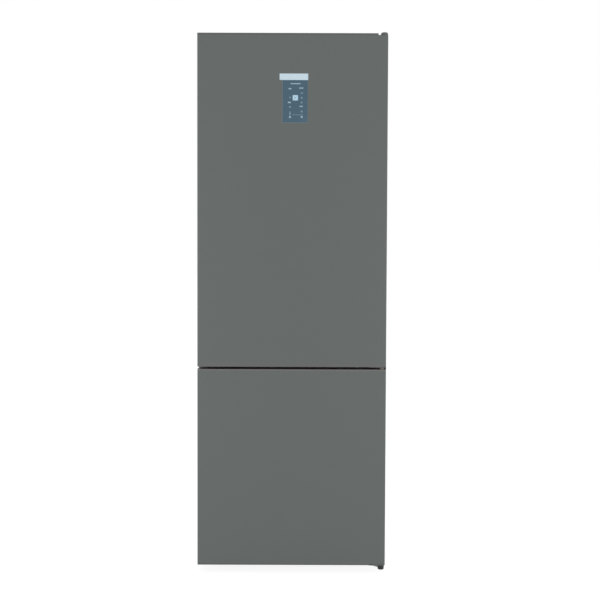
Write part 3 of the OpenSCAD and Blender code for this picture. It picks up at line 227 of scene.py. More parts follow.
class Palette:
    """Makes each finish's material once."""

    CLOUD_SCALE = 7.0
    CLOUD_DETAIL = 2.0
    FINE_DETAIL = 3.0

    def __init__(self) -> None:
        """Starts with no material made."""
        self.made: dict[str, bpy.types.Material] = {}

    def material(self, finish: Finish) -> bpy.types.Material:
        """Gives the material of a finish, and makes it the first time."""
        if finish.name not in self.made:
            self.made[finish.name] = self._make(finish)
        return self.made[finish.name]

    def _make(self, finish: Finish) -> bpy.types.Material:
        """Builds the shader of a finish.

        Args:
            finish: The finish to build.

        Returns:
            The new material.
        """
        sheet = Sheet(bpy.data.materials.new(finish.name))
        place = sheet.node("ShaderNodeTexCoord", output="Object")
        cloud = sheet.node("ShaderNodeTexNoise", {}, {
            "Vector": place, "Scale": self.CLOUD_SCALE, "Detail": self.CLOUD_DETAIL})
        tone, relief = self._grain(sheet, place, finish)
        base = linear(finish.colour)
        dark = tuple(c * (1 - finish.mottle) for c in base[:3]) + (1.0,)
        light = tuple(min(1.0, c * (1 + finish.mottle)) for c in base[:3]) + (1.0,)
        share = GRAINS[finish.kind].share
        blend = cloud * (1 - share) + tone * share
        colour = sheet.node("ShaderNodeMix", {"data_type": "RGBA"}, {0: blend, 6: dark, 7: light}, 2)
        spread = finish.gloss_spread
        rough = (tone - 0.5) * spread + ((cloud - 0.5) * spread + finish.roughness)
        bump = sheet.node("ShaderNodeBump", {}, {
            "Strength": finish.bump, "Distance": finish.grain * MM, "Height": relief})
        inputs: dict = {"Base Color": colour, "Roughness": rough, "Normal": bump, "Alpha": finish.alpha}
        inputs.update(self._kind_inputs(finish, base))
        surface = sheet.node("ShaderNodeBsdfPrincipled", {}, inputs)
        sheet.node("ShaderNodeOutputMaterial", {}, {"Surface": surface})
        return sheet.holder

    def _grain(self, sheet: Sheet, place: Wire, finish: Finish) -> tuple[Wire, Wire]:
        """Draws the fine pattern of a finish.

        Args:
            sheet: The material's sheet.
            place: Where a point of the surface is.
            finish: The finish.

        Returns:
            The pattern's tone and its height, each from 0 to 1.
        """
        grain = GRAINS[finish.kind]
        drawn = sheet.node("ShaderNodeMapping", {}, {"Vector": place, "Scale": grain.stretch})
        fine = sheet.node("ShaderNodeTexNoise", {}, {
            "Vector": drawn, "Scale": 1 / (finish.grain * MM), "Detail": self.FINE_DETAIL})
        if not grain.cell:
            return fine, fine
        cells = {"Vector": place, "Scale": 1 / (grain.cell * MM)}
        tone = sheet.node("ShaderNodeTexVoronoi", {}, cells, "Color") * 1.0
        relief = sheet.node("ShaderNodeTexVoronoi", {}, cells, "Distance") if grain.bubbles else fine
        return tone, relief

    @staticmethod
    def _kind_inputs(finish: Finish, base: Sequence[float]) -> dict:
        """The shader values that belong to a kind of finish.

        Args:
            finish: The finish.
            base: Its linear colour.

        Returns:
            Values by socket name.
        """
        table: dict[Kind, dict] = {
            Kind.PAINT: {"Coat Weight": 0.25, "Coat Roughness": 0.3, "IOR": 1.5},
            Kind.MOULDED: {"IOR": 1.47},
            Kind.METAL: {"Metallic": 0.85},
            Kind.SPANGLE: {"Metallic": 0.8},
            Kind.CHROME: {"Metallic": 1.0},
            Kind.RUBBER: {"IOR": 1.35},
            Kind.FOAM: {"IOR": 1.3},
            Kind.CLEAR: {"IOR": 1.5, "Coat Weight": 0.3},
            Kind.GLASS: {"IOR": 1.5, "Coat Weight": 0.6},
            Kind.PRINT: {"Emission Color": tuple(base), "Emission Strength": finish.glow},
        }
        return table[finish.kind]


DOOR_PAINT = Finish("door_paint", Kind.PAINT, "#666d6b", "door_steel", 0.42, 0.06, 0.022, 2.4, 0.02)
SIDE_PAINT = Finish("side_paint", Kind.PAINT, "#7f8583", "cabinet_steel", 0.5, 0.08, 0.03, 1.6, 0.12)
DARK_SHEET = Finish("dark_sheet", Kind.PAINT, "#4a4d4f", "dark_steel", 0.55, 0.1, 0.06, 1.2, 0.08)
ZINC = Finish("zinc_plate", Kind.SPANGLE, "#9a9d9e", "zinc_steel", 0.4, 0.18, 0.14, 0.6, 0.06)
POT_BLACK = Finish("pot_black", Kind.PAINT, "#1d1f21", "black_steel", 0.4, 0.12, 0.12, 1.8, 0.08)
CHROME = Finish("chrome_wire", Kind.CHROME, "#d5d9db", "chrome_wire", 0.14, 0.06, 0.03, 1.0, 0.01)
FIN_METAL = Finish("fin_aluminium", Kind.METAL, "#b9bec1", "aluminium_fins", 0.35, 0.12, 0.07, 0.8, 0.05)
LINER_WHITE = Finish("liner_white", Kind.MOULDED, "#eef0ee", "white_liner", 0.3, 0.06, 0.012, 2.6, 0.03)
TRIM_GREY = Finish("trim_grey", Kind.MOULDED, "#6f7271", "grey_plastic", 0.48, 0.08, 0.04, 0.5, 0.1)
# One grey plastic for the door caps: CAP_DOOR matches the door, and the two lighter ones below, for the caps
# along the door gap, are painted light for the bright edges there
CAP_DOOR = Finish("cap_door", Kind.MOULDED, "#656866", "grey_plastic", 0.5, 0.08, 0.04, 0.5, 0.08)
CAP_BAND_LIT = Finish("cap_band", Kind.MOULDED, "#737372", "grey_plastic", 0.5, 0.08, 0.04, 0.5, 0.08)
CAP_TOP_LIT = Finish("cap_light", Kind.MOULDED, "#817f7e", "grey_plastic", 0.5, 0.08, 0.04, 0.5, 0.08)
HINGE_NOSE = Finish("hinge_nose", Kind.MOULDED, "#727169", "zinc_steel", 0.5, 0.08, 0.04, 0.6, 0.08)
BEZEL_GREY = Finish("bezel_grey", Kind.MOULDED, "#7c8589", "grey_plastic", 0.4, 0.06, 0.03, 0.4, 0.05)
DARK_PLASTIC = Finish("dark_plastic", Kind.MOULDED, "#2e3133", "dark_plastic", 0.55, 0.1, 0.07, 0.5, 0.14)
CLEAR_TUB = Finish("clear_tub", Kind.CLEAR, "#eef5f5", "clear_plastic", 0.14, 0.03, 0.015, 9.0, 0.005, 0.22)
CLEAR_RIM = Finish("clear_rim", Kind.CLEAR, "#dfeceb", "clear_plastic", 0.2, 0.06, 0.03, 6.0, 0.02, 0.66)
FROST_TUB = Finish("frost_tub", Kind.CLEAR, "#eaf1f2", "clear_plastic", 0.3, 0.08, 0.04, 4.0, 0.04, 0.4)
FROST_RIM = Finish("frost_rim", Kind.CLEAR, "#e2edee", "clear_plastic", 0.3, 0.06, 0.03, 4.0, 0.04, 0.78)
KNOB_GREEN = Finish("knob_green", Kind.MOULDED, "#5f8f7c", "green_plastic", 0.4, 0.06, 0.04, 0.5, 0.06)
SHELF_GLASS = Finish("shelf_glass", Kind.GLASS, "#bcd8cf", "shelf_glass", 0.08, 0.08, 0.03, 26.0, 0.0, 0.26)
GLASS_EDGE = Finish("glass_edge", Kind.GLASS, "#6fa694", "shelf_glass", 0.12, 0.05, 0.06, 9.0, 0.0, 0.82)
SHELF_TRIM = Finish("shelf_trim", Kind.MOULDED, "#c9cecd", "clear_plastic", 0.3, 0.06, 0.03, 0.8, 0.04)
COPPER = Finish("copper_pipe", Kind.METAL, "#b5704a", "black_steel", 0.38, 0.14, 0.14, 0.8, 0.06)
PANE_BLUE = Finish("pane_blue", Kind.GLASS, "#2d5c73", "display_glass", 0.22, 0.04, 0.09, 8.0, 0.0)
STRIP_BLUE = Finish("strip_pale", Kind.PRINT, "#d9eefa", "display_strip", 0.35, 0.06, 0.03, 0.6,
                    0.04, 1.0, 0.12)
FOAM = Finish("foam", Kind.FOAM, "#e6dfc8", "foam", 0.9, 0.06, 0.08, 1.5, 0.4)
SEAL = Finish("seal_rubber", Kind.RUBBER, "#6f7473", "seal_rubber", 0.62, 0.08, 0.06, 0.7, 0.1)
# Dark block at the right end of the door gap: its dark colour is painted shade for the shaded notch there
SHADE_BLOCK = Finish("buffer_rubber", Kind.RUBBER, "#3c3d3a", "black_rubber", 0.62, 0.08, 0.06, 0.6, 0.12)
GROMMET = Finish("grommet_rubber", Kind.RUBBER, "#17191b", "black_rubber", 0.7, 0.08, 0.08, 0.6, 0.18)
MARK_WHITE = Finish("mark_white", Kind.PRINT, "#c3dae5", "display_strip", 0.4, 0.02, 0.02, 1.0,
                    0.01, 1.0, 0.27)
MARK_PALE = Finish("mark_pale", Kind.PRINT, "#a3bccb", "display_strip", 0.4, 0.02, 0.02, 1.0, 0.01,
                   1.0, 0.12)
MARK_DIM = Finish("mark_dim", Kind.PRINT, "#86a2b4", "display_strip", 0.4, 0.02, 0.02, 1.0, 0.01)

NODE_FINISHES: dict[str, Finish] = {node: finish for finish, nodes in (
    (SIDE_PAINT, "outer_wrap mullion_rail"),
    (DARK_SHEET, "rear_panel base_pan"),
    (FOAM, "cabinet_foam fridge_door_foam freezer_door_foam"),
    (LINER_WHITE, "fridge_liner freezer_liner fridge_duct_panel crisper_shelf_frame evaporator_cover "
     "fan_blade fridge_door_liner freezer_door_liner"),
    (DARK_PLASTIC, "plinth relay_box drip_tray wall_spacers fan_motor damper_flap foot_left foot_right "
     "roller_left roller_right display_housing"),
    (ZINC, "top_hinge middle_hinge bottom_hinge"),
    (TRIM_GREY, "top_hinge_cover shelf_trims fridge_door_caps fridge_door_grip freezer_door_grip"),
    (POT_BLACK, "compressor condenser_tube condenser_wires"),
    (GROMMET, "compressor_mounts"),
    (CLEAR_TUB, "lamp_cover crisper_drawer chiller_drawer dairy_rack dairy_lid door_racks "
     "door_bottle_rack"),
    (SHELF_GLASS, "shelf_glass crisper_shelf_glass"),
    (CHROME, "wine_rack"),
    (FIN_METAL, "evaporator"),
    (KNOB_GREEN, "humidity_slider"),
    (FROST_TUB, "freezer_drawer_top freezer_drawer_middle freezer_drawer_bottom"),
    (DOOR_PAINT, "fridge_door_skin freezer_door_skin"),
    (SEAL, "fridge_door_seal freezer_door_seal"),
    (PANE_BLUE, "display_glass"),
    (STRIP_BLUE, "display_strip"),
    # The upper freezer cap, at the door gap, is painted lighter: painted light
    (CAP_TOP_LIT, "freezer_door_caps"),
) for node in nodes.split()}


class Bench:
    """Models pieces with Blender's own operators. Sizes are in metres."""

    SHARP_ANGLE = 35.0
    SOFTEN_ANGLE = 40.0
    FLAT_ANGLE = 1.0
    TUBE_RESOLUTION = 5
    HEAD_SIDES = 24
    CROSS_ARM = 0.62
    CROSS_HALF = 0.14
    CROSS_DEEP = 0.45
    HEAD_ROUND = 0.45

    @staticmethod
    def alone(obj: bpy.types.Object) -> None:
        """Makes an object the only selected one, and active."""
        bpy.ops.object.select_all(action="DESELECT")
        obj.select_set(True)
        bpy.context.view_layer.objects.active = obj

    @staticmethod
    def place(name: str, data: bpy.types.ID) -> bpy.types.Object:
        """Adds an object with the given data to the scene."""
        obj = bpy.data.objects.new(name, data)
        bpy.context.scene.collection.objects.link(obj)
        return obj

    @classmethod
    def whole(cls, obj: bpy.types.Object) -> None:
        """Enters edit mode with a piece's whole mesh selected."""
        cls.alone(obj)
        bpy.ops.object.mode_set(mode="EDIT")
        bpy.ops.mesh.select_all(action="SELECT")

    @classmethod
    def block(cls, name: str, low: Sequence[float], high: Sequence[float]) -> bpy.types.Object:
        """Adds a box to be shaped.

        Args:
            name: The piece's name.
            low: Its lowest corner.
            high: Its highest corner.

        Returns:
            The new object, with its place in its mesh.
        """
        bpy.ops.object.select_all(action="DESELECT")
        middle = [(a + b) / 2 for a, b in zip(low, high)]
        size = [b - a for a, b in zip(low, high)]
        bpy.ops.mesh.primitive_cube_add(size=1.0, location=middle, scale=size)
        return cls._settle(name)

    @classmethod
    def round_bar(cls, name: str, radius: float, start: Sequence[float], end: Sequence[float],
                  sides: int = 32) -> bpy.types.Object:
        """Adds a cylinder between two points.

        Args:
            name: The piece's name.
            radius: Its radius.
            start: The middle of one end.
            end: The middle of the other end.
            sides: How many sides it has.

        Returns:
            The new object.
        """
        bpy.ops.object.select_all(action="DESELECT")
        first, last = Vector(start), Vector(end)
        turn = (last - first).to_track_quat("Z", "Y").to_euler()
        bpy.ops.mesh.primitive_cylinder_add(vertices=sides, radius=radius, depth=(last - first).length,
                                            location=(first + last) / 2, rotation=turn)
        return cls._settle(name)

    @classmethod
    def lathe(cls, name: str, profile: Sequence[Sequence[float]], place: Sequence[float],
              turn: Sequence[float] = (0.0, 0.0, 0.0), steps: int = 48) -> bpy.types.Object:
        """Turns a profile about an axis.

        Args:
            name: The piece's name.
            profile: Radius and height of each point, in millimetres, from the axis back to the axis.
            place: Where the axis starts.
            turn: Rotation that lays the axis down.
            steps: How many steps the turn has.

        Returns:
            The new object.
        """
        mesh = bpy.data.meshes.new(name)
        edges = [(i, i + 1) for i in range(len(profile) - 1)]
        mesh.from_pydata([(r * MM, 0.0, h * MM) for r, h in profile], edges, [])
        obj = cls.place(name, mesh)
        cls.modify(obj, "SCREW", steps=steps, render_steps=steps, use_merge_vertices=True,
                   merge_threshold=TOUCH)
        obj.location, obj.rotation_euler = place, turn
        cls.alone(obj)
        cls._settle(name)
        cls.outwards(obj)
        return obj

    @classmethod
    def prism(cls, name: str, outline: Sequence[Sequence[float]], low: float,
              high: float) -> bpy.types.Object:
        """Pushes an outline of depth and height along X.

        Args:
            name: The piece's name.
            outline: Depth and height of each corner.
            low: Where the prism starts along X.
            high: Where it ends.

        Returns:
            The new object.
        """
        mesh = bpy.data.meshes.new(name)
        mesh.from_pydata([(low, y, z) for y, z in outline], [], [tuple(range(len(outline)))])
        obj = cls.place(name, mesh)
        cls.whole(obj)
        bpy.ops.mesh.extrude_region_move(TRANSFORM_OT_translate={"value": (high - low, 0.0, 0.0)})
        cls.done()
        cls.outwards(obj)
        return obj

    @classmethod
    def tube(cls, name: str, corners: Sequence[Sequence[float]], radius: float,
             bend: float) -> bpy.types.Object:
        """Bends a round tube along a path.

        Args:
            name: The piece's name.
            corners: The path's corners.
            radius: Radius of the tube.
            bend: How far before and after a corner its bend starts.

        Returns:
            The new object.
        """
        path = cls._bent([Vector(c) for c in corners], bend)
        curve = bpy.data.curves.new(name, "CURVE")
        curve.dimensions = "3D"
        curve.bevel_depth = radius
        curve.bevel_resolution = cls.TUBE_RESOLUTION
        curve.use_fill_caps = True
        spline = curve.splines.new("POLY")
        spline.points.add(len(path) - 1)
        for point, place in zip(spline.points, path):
            point.co = (*place, 1.0)
        obj = cls.place(name, curve)
        cls.alone(obj)
        bpy.ops.object.convert(target="MESH")
        cls.outwards(bpy.context.active_object)
        return bpy.context.active_object

    @staticmethod
    def _bent(corners: list[Vector], bend: float, steps: int = 8) -> list[Vector]:
        """Rounds a path's inner corners with quadratic bends."""
        path = [corners[0]]
        for before, corner, after in zip(corners, corners[1:], corners[2:]):
            start = corner + (before - corner).normalized() * bend
            end = corner + (after - corner).normalized() * bend
            for step in range(steps + 1):
                t = step / steps
                path.append(start.lerp(corner, t).lerp(corner.lerp(end, t), t))
        return [*path, corners[-1]]

    @classmethod
    def spread(cls, master: bpy.types.Object, places: Iterable[Sequence[float]], name: str,
               turn: Sequence[float] = (0.0, 0.0, 0.0)) -> bpy.types.Object:
        """Sets copies of a shape at many places and joins them.

        Args:
            master: The shape at the origin, which is used up.
            places: Where the copies go.
            name: Name of the whole.
            turn: Rotation of every copy.

        Returns:
            The joined copies.
        """
        copies = []
        for place in places:
            copy = cls.place(name, master.data.copy())
            copy.location, copy.rotation_euler = place, turn
            copies.append(copy)
        bpy.data.objects.remove(master)
        cls.join(copies, name)
        return cls._settle(name)

    @classmethod
    def screw_head(cls, radius: float, height: float) -> bpy.types.Object:
        """Makes one cross-recessed screw head that stands on the origin."""
        head = cls.round_bar("screw_head", radius, (0, 0, -height / 4), (0, 0, height), cls.HEAD_SIDES)
        cls.bevel(head, lambda a, b: min(a.z, b.z) > height - TOUCH, height * cls.HEAD_ROUND, 3)
        arm, slot, deep = radius * cls.CROSS_ARM, radius * cls.CROSS_HALF, height * cls.CROSS_DEEP
        cls.cut(head, [cls.block("slot", (-arm, -slot, deep), (arm, slot, 2 * height)),
                       cls.block("slot", (-slot, -arm, deep), (slot, arm, 2 * height))])
        return head

    @classmethod
    def flip(cls, obj: bpy.types.Object) -> None:
        """Turns every face of a piece over."""
        cls.whole(obj)
        bpy.ops.mesh.flip_normals()
        cls.done()

    @classmethod
    def copy_of(cls, node: bpy.types.Object, name: str) -> bpy.types.Object:
        """Starts a piece from the outline of a CAD node, with its flat faces whole.

        Args:
            node: The CAD node, which stays as it is.
            name: The piece's name.

        Returns:
            The new object.
        """
        obj = cls.place(name, node.data.copy())
        cls.whole(obj)
        bpy.ops.mesh.remove_doubles(threshold=TOUCH)
        bpy.ops.mesh.dissolve_limited(angle_limit=math.radians(cls.FLAT_ANGLE))
        cls.done()
        return obj

    @classmethod
    def loose_parts(cls, obj: bpy.types.Object) -> list[bpy.types.Object]:
        """Splits a piece into its separate solids, from the lowest up."""
        cls.whole(obj)
        bpy.ops.mesh.separate(type="LOOSE")
        cls.done()
        parts = list(bpy.context.selected_objects)
        return sorted(parts, key=lambda part: min(v.co.z for v in part.data.vertices))

    @classmethod
    def _settle(cls, name: str) -> bpy.types.Object:
        """Names the active object and moves its place into its mesh."""
        obj = bpy.context.active_object
        obj.name = name
        bpy.ops.object.transform_apply(location=True, rotation=True, scale=True)
        return obj

    @classmethod
    def pick_edges(cls, obj: bpy.types.Object, test: Callable[[Vector, Vector], bool]) -> None:
        """Enters edit mode with the edges selected whose two ends pass the test."""
        cls._blank(obj, "EDGE")
        points = obj.data.vertices
        for edge in obj.data.edges:
            edge.select = test(points[edge.vertices[0]].co, points[edge.vertices[1]].co)
        bpy.ops.object.mode_set(mode="EDIT")

    @classmethod
    def pick_faces(cls, obj: bpy.types.Object, test: Callable[[Vector, Vector], bool]) -> None:
        """Enters edit mode with the faces selected whose middle and normal pass the test."""
        cls._blank(obj, "FACE")
        for face in obj.data.polygons:
            face.select = test(face.center, face.normal)
        bpy.ops.object.mode_set(mode="EDIT")

    @classmethod
    def _blank(cls, obj: bpy.types.Object, mode: str) -> None:
        """Deselects the whole mesh of an object in the given selection mode."""
        cls.alone(obj)
        bpy.ops.object.mode_set(mode="EDIT")
        bpy.ops.mesh.select_mode(type=mode)
        bpy.ops.mesh.select_all(action="DESELECT")
        bpy.ops.object.mode_set(mode="OBJECT")

    @staticmethod
    def done() -> None:
        """Leaves edit mode."""
        bpy.ops.object.mode_set(mode="OBJECT")

    @classmethod
    def bevel(cls, obj: bpy.types.Object, test: Callable[[Vector, Vector], bool], width: float,
              segments: int = 5) -> None:
        """Rounds the edges that pass the test."""
        cls.pick_edges(obj, test)
        bpy.ops.mesh.bevel(offset=width, segments=segments, affect="EDGES")
        cls.done()

    @classmethod
    def drop_faces(cls, obj: bpy.types.Object, test: Callable[[Vector, Vector], bool]) -> None:
        """Deletes the faces that pass the test."""
        cls.pick_faces(obj, test)
        bpy.ops.mesh.delete(type="FACE")
        cls.done()

    @classmethod
    def sink(cls, obj: bpy.types.Object, test: Callable[[Vector, Vector], bool], border: float,
             move: Sequence[float]) -> None:
        """Insets the faces that pass the test and pushes them in or out.

        Args:
            obj: The piece.
            test: The test on a face's middle and normal.
            border: Width of the rim that stays.
            move: How far the inner faces move.
        """
        cls.pick_faces(obj, test)
        bpy.ops.mesh.inset(thickness=border, depth=0)
        bpy.ops.mesh.extrude_region_move(TRANSFORM_OT_translate={"value": tuple(move)})
        cls.done()

    @classmethod
    def modify(cls, obj: bpy.types.Object, kind: str, **settings: object) -> None:
        """Adds one modifier and applies it."""
        cls.alone(obj)
        modifier = obj.modifiers.new(kind.lower(), kind)
        for key, value in settings.items():
            setattr(modifier, key, value)
        bpy.ops.object.modifier_apply(modifier=modifier.name)

    @classmethod
    def soften(cls, obj: bpy.types.Object, width: float, segments: int = 2) -> None:
        """Rounds every sharp edge a little."""
        cls.modify(obj, "BEVEL", width=width, segments=segments, limit_method="ANGLE",
                   angle_limit=math.radians(cls.SOFTEN_ANGLE), use_clamp_overlap=True)

    @classmethod
    def cut(cls, obj: bpy.types.Object, cutters: Iterable[bpy.types.Object]) -> None:
        """Takes the cutters' shapes out of a piece and deletes them."""
        for cutter in cutters:
            cls.modify(obj, "BOOLEAN", operation="DIFFERENCE", solver="EXACT", object=cutter)
            bpy.data.objects.remove(cutter)

    @classmethod
    def join(cls, parts: Sequence[bpy.types.Object], name: str) -> bpy.types.Object:
        """Joins several pieces into one.

        Args:
            parts: The pieces.
            name: Name of the whole.

        Returns:
            The joined object.
        """
        bpy.ops.object.select_all(action="DESELECT")
        for part in parts:
            part.select_set(True)
        bpy.context.view_layer.objects.active = parts[0]
        if len(parts) > 1:
            bpy.ops.object.join()
        parts[0].name = name
        return parts[0]

    @classmethod
    def smooth(cls, obj: bpy.types.Object) -> None:
        """Shades a piece smooth but for its sharp edges."""
        cls.alone(obj)
        bpy.ops.object.shade_smooth_by_angle(angle=math.radians(cls.SHARP_ANGLE))

    @classmethod
    def outwards(cls, obj: bpy.types.Object) -> None:
        """Turns every face of a closed piece outwards."""
        cls.whole(obj)
        bpy.ops.mesh.remove_doubles(threshold=TOUCH)
        bpy.ops.mesh.normals_make_consistent(inside=False)
        cls.done()


def upright(a: Vector, b: Vector) -> bool:
    """True for an edge along Z."""
    return abs(a.x - b.x) < TOUCH and abs(a.y - b.y) < TOUCH


def depthwise(a: Vector, b: Vector) -> bool:
    """True for an edge along Y."""
    return abs(a.x - b.x) < TOUCH and abs(a.z - b.z) < TOUCH


@dataclass
class SubAssembly:
    """What every sub-assembly shares: the materials, the CAD nodes and the fitting of a finished piece."""

    palette: Palette
    nodes: dict[str, bpy.types.Object]
    owner: dict[str, str]

    def fit(self, obj: bpy.types.Object, body: str, finish: Finish, *replaced: str) -> bpy.types.Object:
        """Gives a piece its finish and ties it to its body.

        Args:
            obj: The finished piece.
            body: Name of the CAD body that it rides on.
            finish: Its finish.
            *replaced: CAD nodes that it stands for.

        Returns:
            The piece.
        """
        obj.data.materials.clear()
        obj.data.materials.append(self.palette.material(finish))
        Bench.smooth(obj)
        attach(obj, body)
        if replaced:
            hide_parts(*replaced)
        LOG.info("%s rides on %s", obj.name, body)
        return obj

    def form(self, node: str, radius: float, finish: Optional[Finish] = None,
             extra: Sequence[bpy.types.Object] = ()) -> bpy.types.Object:
        """Models a node again with the small edge radius that moulded and folded parts have.

        Args:
            node: The CAD node.
            radius: Radius of its edges in millimetres.
            finish: Its finish, if not the node's own.
            extra: Finished shapes that belong to the same moulding.

        Returns:
            The piece that stands for the node.
        """
        piece = Bench.copy_of(self.nodes[node], f"{node}_formed")
        Bench.soften(piece, radius * MM)
        if extra:
            piece = Bench.join([piece, *extra], piece.name)
        return self.fit(piece, self.owner[node], finish or NODE_FINISHES[node], node)

    def tint(self, obj: bpy.types.Object, finish: Finish, test: Callable[[Vector, Vector], bool]) -> None:
        """Gives the faces of a fitted piece that pass the test a second finish.

        Args:
            obj: The piece.
            finish: The second finish.
            test: The test on a face's middle and normal.
        """
        obj.data.materials.append(self.palette.material(finish))
        for face in obj.data.polygons:
            if test(face.center, face.normal):
                face.material_index = 1

    def add(self, parts: Sequence[bpy.types.Object], name: str, body: str, finish: Finish,
            *replaced: str) -> bpy.types.Object:
        """Joins shapes into one piece and fits it."""
        return self.fit(Bench.join(list(parts), name), body, finish, *replaced)


def dress_nodes(palette: Palette, nodes: dict[str, bpy.types.Object]) -> None:
    """Gives every CAD node the material of its finish.

    Args:
        palette: The materials.
        nodes: The CAD nodes by name.
    """
    for name, obj in nodes.items():
        material = palette.material(NODE_FINISHES[name])
        obj.data.materials.clear()
        obj.data.materials.append(material)


@dataclass
class DoorShell(SubAssembly):
    """The folded steel sheet of one door."""

    body: str = "fridge_door"
    sheet: float = 1.0 * MM
    edge: float = 4.0 * MM
    flange: float = 12.0 * MM

    def build(self, cutters: Sequence[bpy.types.Object]) -> bpy.types.Object:
        """Models the sheet over the CAD one.

        Args:
            cutters: Shapes of the openings in the sheet.

        Returns:
            The sheet.
        """
        node = f"{self.body}_skin"
        low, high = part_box(node)
        shell = Bench.block(f"{self.body}_sheet", low, high)
        Bench.bevel(shell, lambda a, b: upright(a, b) and a.y < low.y + MM, self.edge, 8)
        Bench.drop_faces(shell, lambda c, n: abs(n.z) > FACING)
        Bench.drop_faces(shell, lambda c, n: n.y > FACING)
        for side in (-1, 1):
            Bench.pick_edges(shell, lambda a, b: upright(a, b) and a.y > high.y - NEAR and side * a.x > 0)
            bpy.ops.mesh.extrude_edges_move(TRANSFORM_OT_translate={"value": (-side * self.flange, 0.0, 0.0)})
            Bench.done()
        Bench.modify(shell, "SOLIDIFY", thickness=self.sheet, offset=-1.0)
        Bench.cut(shell, cutters)
        return self.fit(shell, self.body, DOOR_PAINT, node)


@dataclass
class DoorCaps(SubAssembly):
    """The moulded caps that close a door's ends, with their small plugs; the caps along the door gap are
    painted lighter, as painted light for the bright edges there.
    """

    edge: float = 0.8 * MM
    plug: float = 2.0 * MM
    plug_rise: float = 0.3 * MM
    plug_sides: int = 24

    def build(self, body: str, lower: Finish, upper: Finish, plugs: Sequence[tuple[float, float]],
              plug_finish: Finish) -> None:
        """Models both caps of a door.

        Args:
            body: The door.
            lower: Finish of the lower cap.
            upper: Finish of the upper cap.
            plugs: Place across and height of each plug on the caps' fronts.
            plug_finish: Finish of the plugs.
        """
        node = f"{body}_caps"
        parts = Bench.loose_parts(Bench.copy_of(self.nodes[node], f"{body}_cap"))
        for place, part, finish in zip(("lower", "upper"), parts, (lower, upper)):
            part.name = f"{body}_cap_{place}"
            Bench.soften(part, self.edge)
            self.fit(part, body, finish, *((node,) if place == "lower" else ()))
        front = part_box(node)[0].y
        for number, (x, z) in enumerate(plugs, 1):
            plug = Bench.round_bar(f"{body}_cap_plug_{number}", self.plug, (x, front + self.plug, z),
                                   (x, front - self.plug_rise, z), self.plug_sides)
            Bench.soften(plug, 0.5 * self.plug_rise)
            self.fit(plug, body, plug_finish)


@dataclass
class HingeCover(SubAssembly):
    """The domed cover over the top hinge."""

    crown: float = 5.8 * MM
    steps: int = 5

    def build(self) -> None:
        """Models the cover with a round top edge."""
        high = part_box("top_hinge_cover")[1]
        cover = Bench.copy_of(self.nodes["top_hinge_cover"], "hinge_cover")
        Bench.bevel(cover, lambda a, b: min(a.z, b.z) > high.z - NEAR, self.crown, self.steps)
        self.fit(cover, "cabinet", TRIM_GREY, "top_hinge_cover")


@dataclass
class Feet(SubAssembly):
    """The screwed feet at the front corners."""

    RIGHT = ((0, 0), (8, 0), (9.3, 0.8), (9.8, 2.2), (10.5, 14), (10, 16.2), (9.3, 17), (3, 17), (3, 20),
             (0, 20))
    LEFT = ((0, 0), (12.7, 0), (14.7, 2), (14.7, 7), (11.7, 10), (7.35, 10.5), (7.35, 16), (5, 16), (5, 38),
            (0, 38))

    def build(self) -> None:
        """Models both feet."""
        for name, profile in (("foot_right", self.RIGHT), ("foot_left", self.LEFT)):
            low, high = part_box(name)
            middle = (low + high) / 2
            foot = Bench.lathe(f"{name}_turned", profile, (middle.x, middle.y, 0.0))
            self.fit(foot, name, DARK_PLASTIC, name)


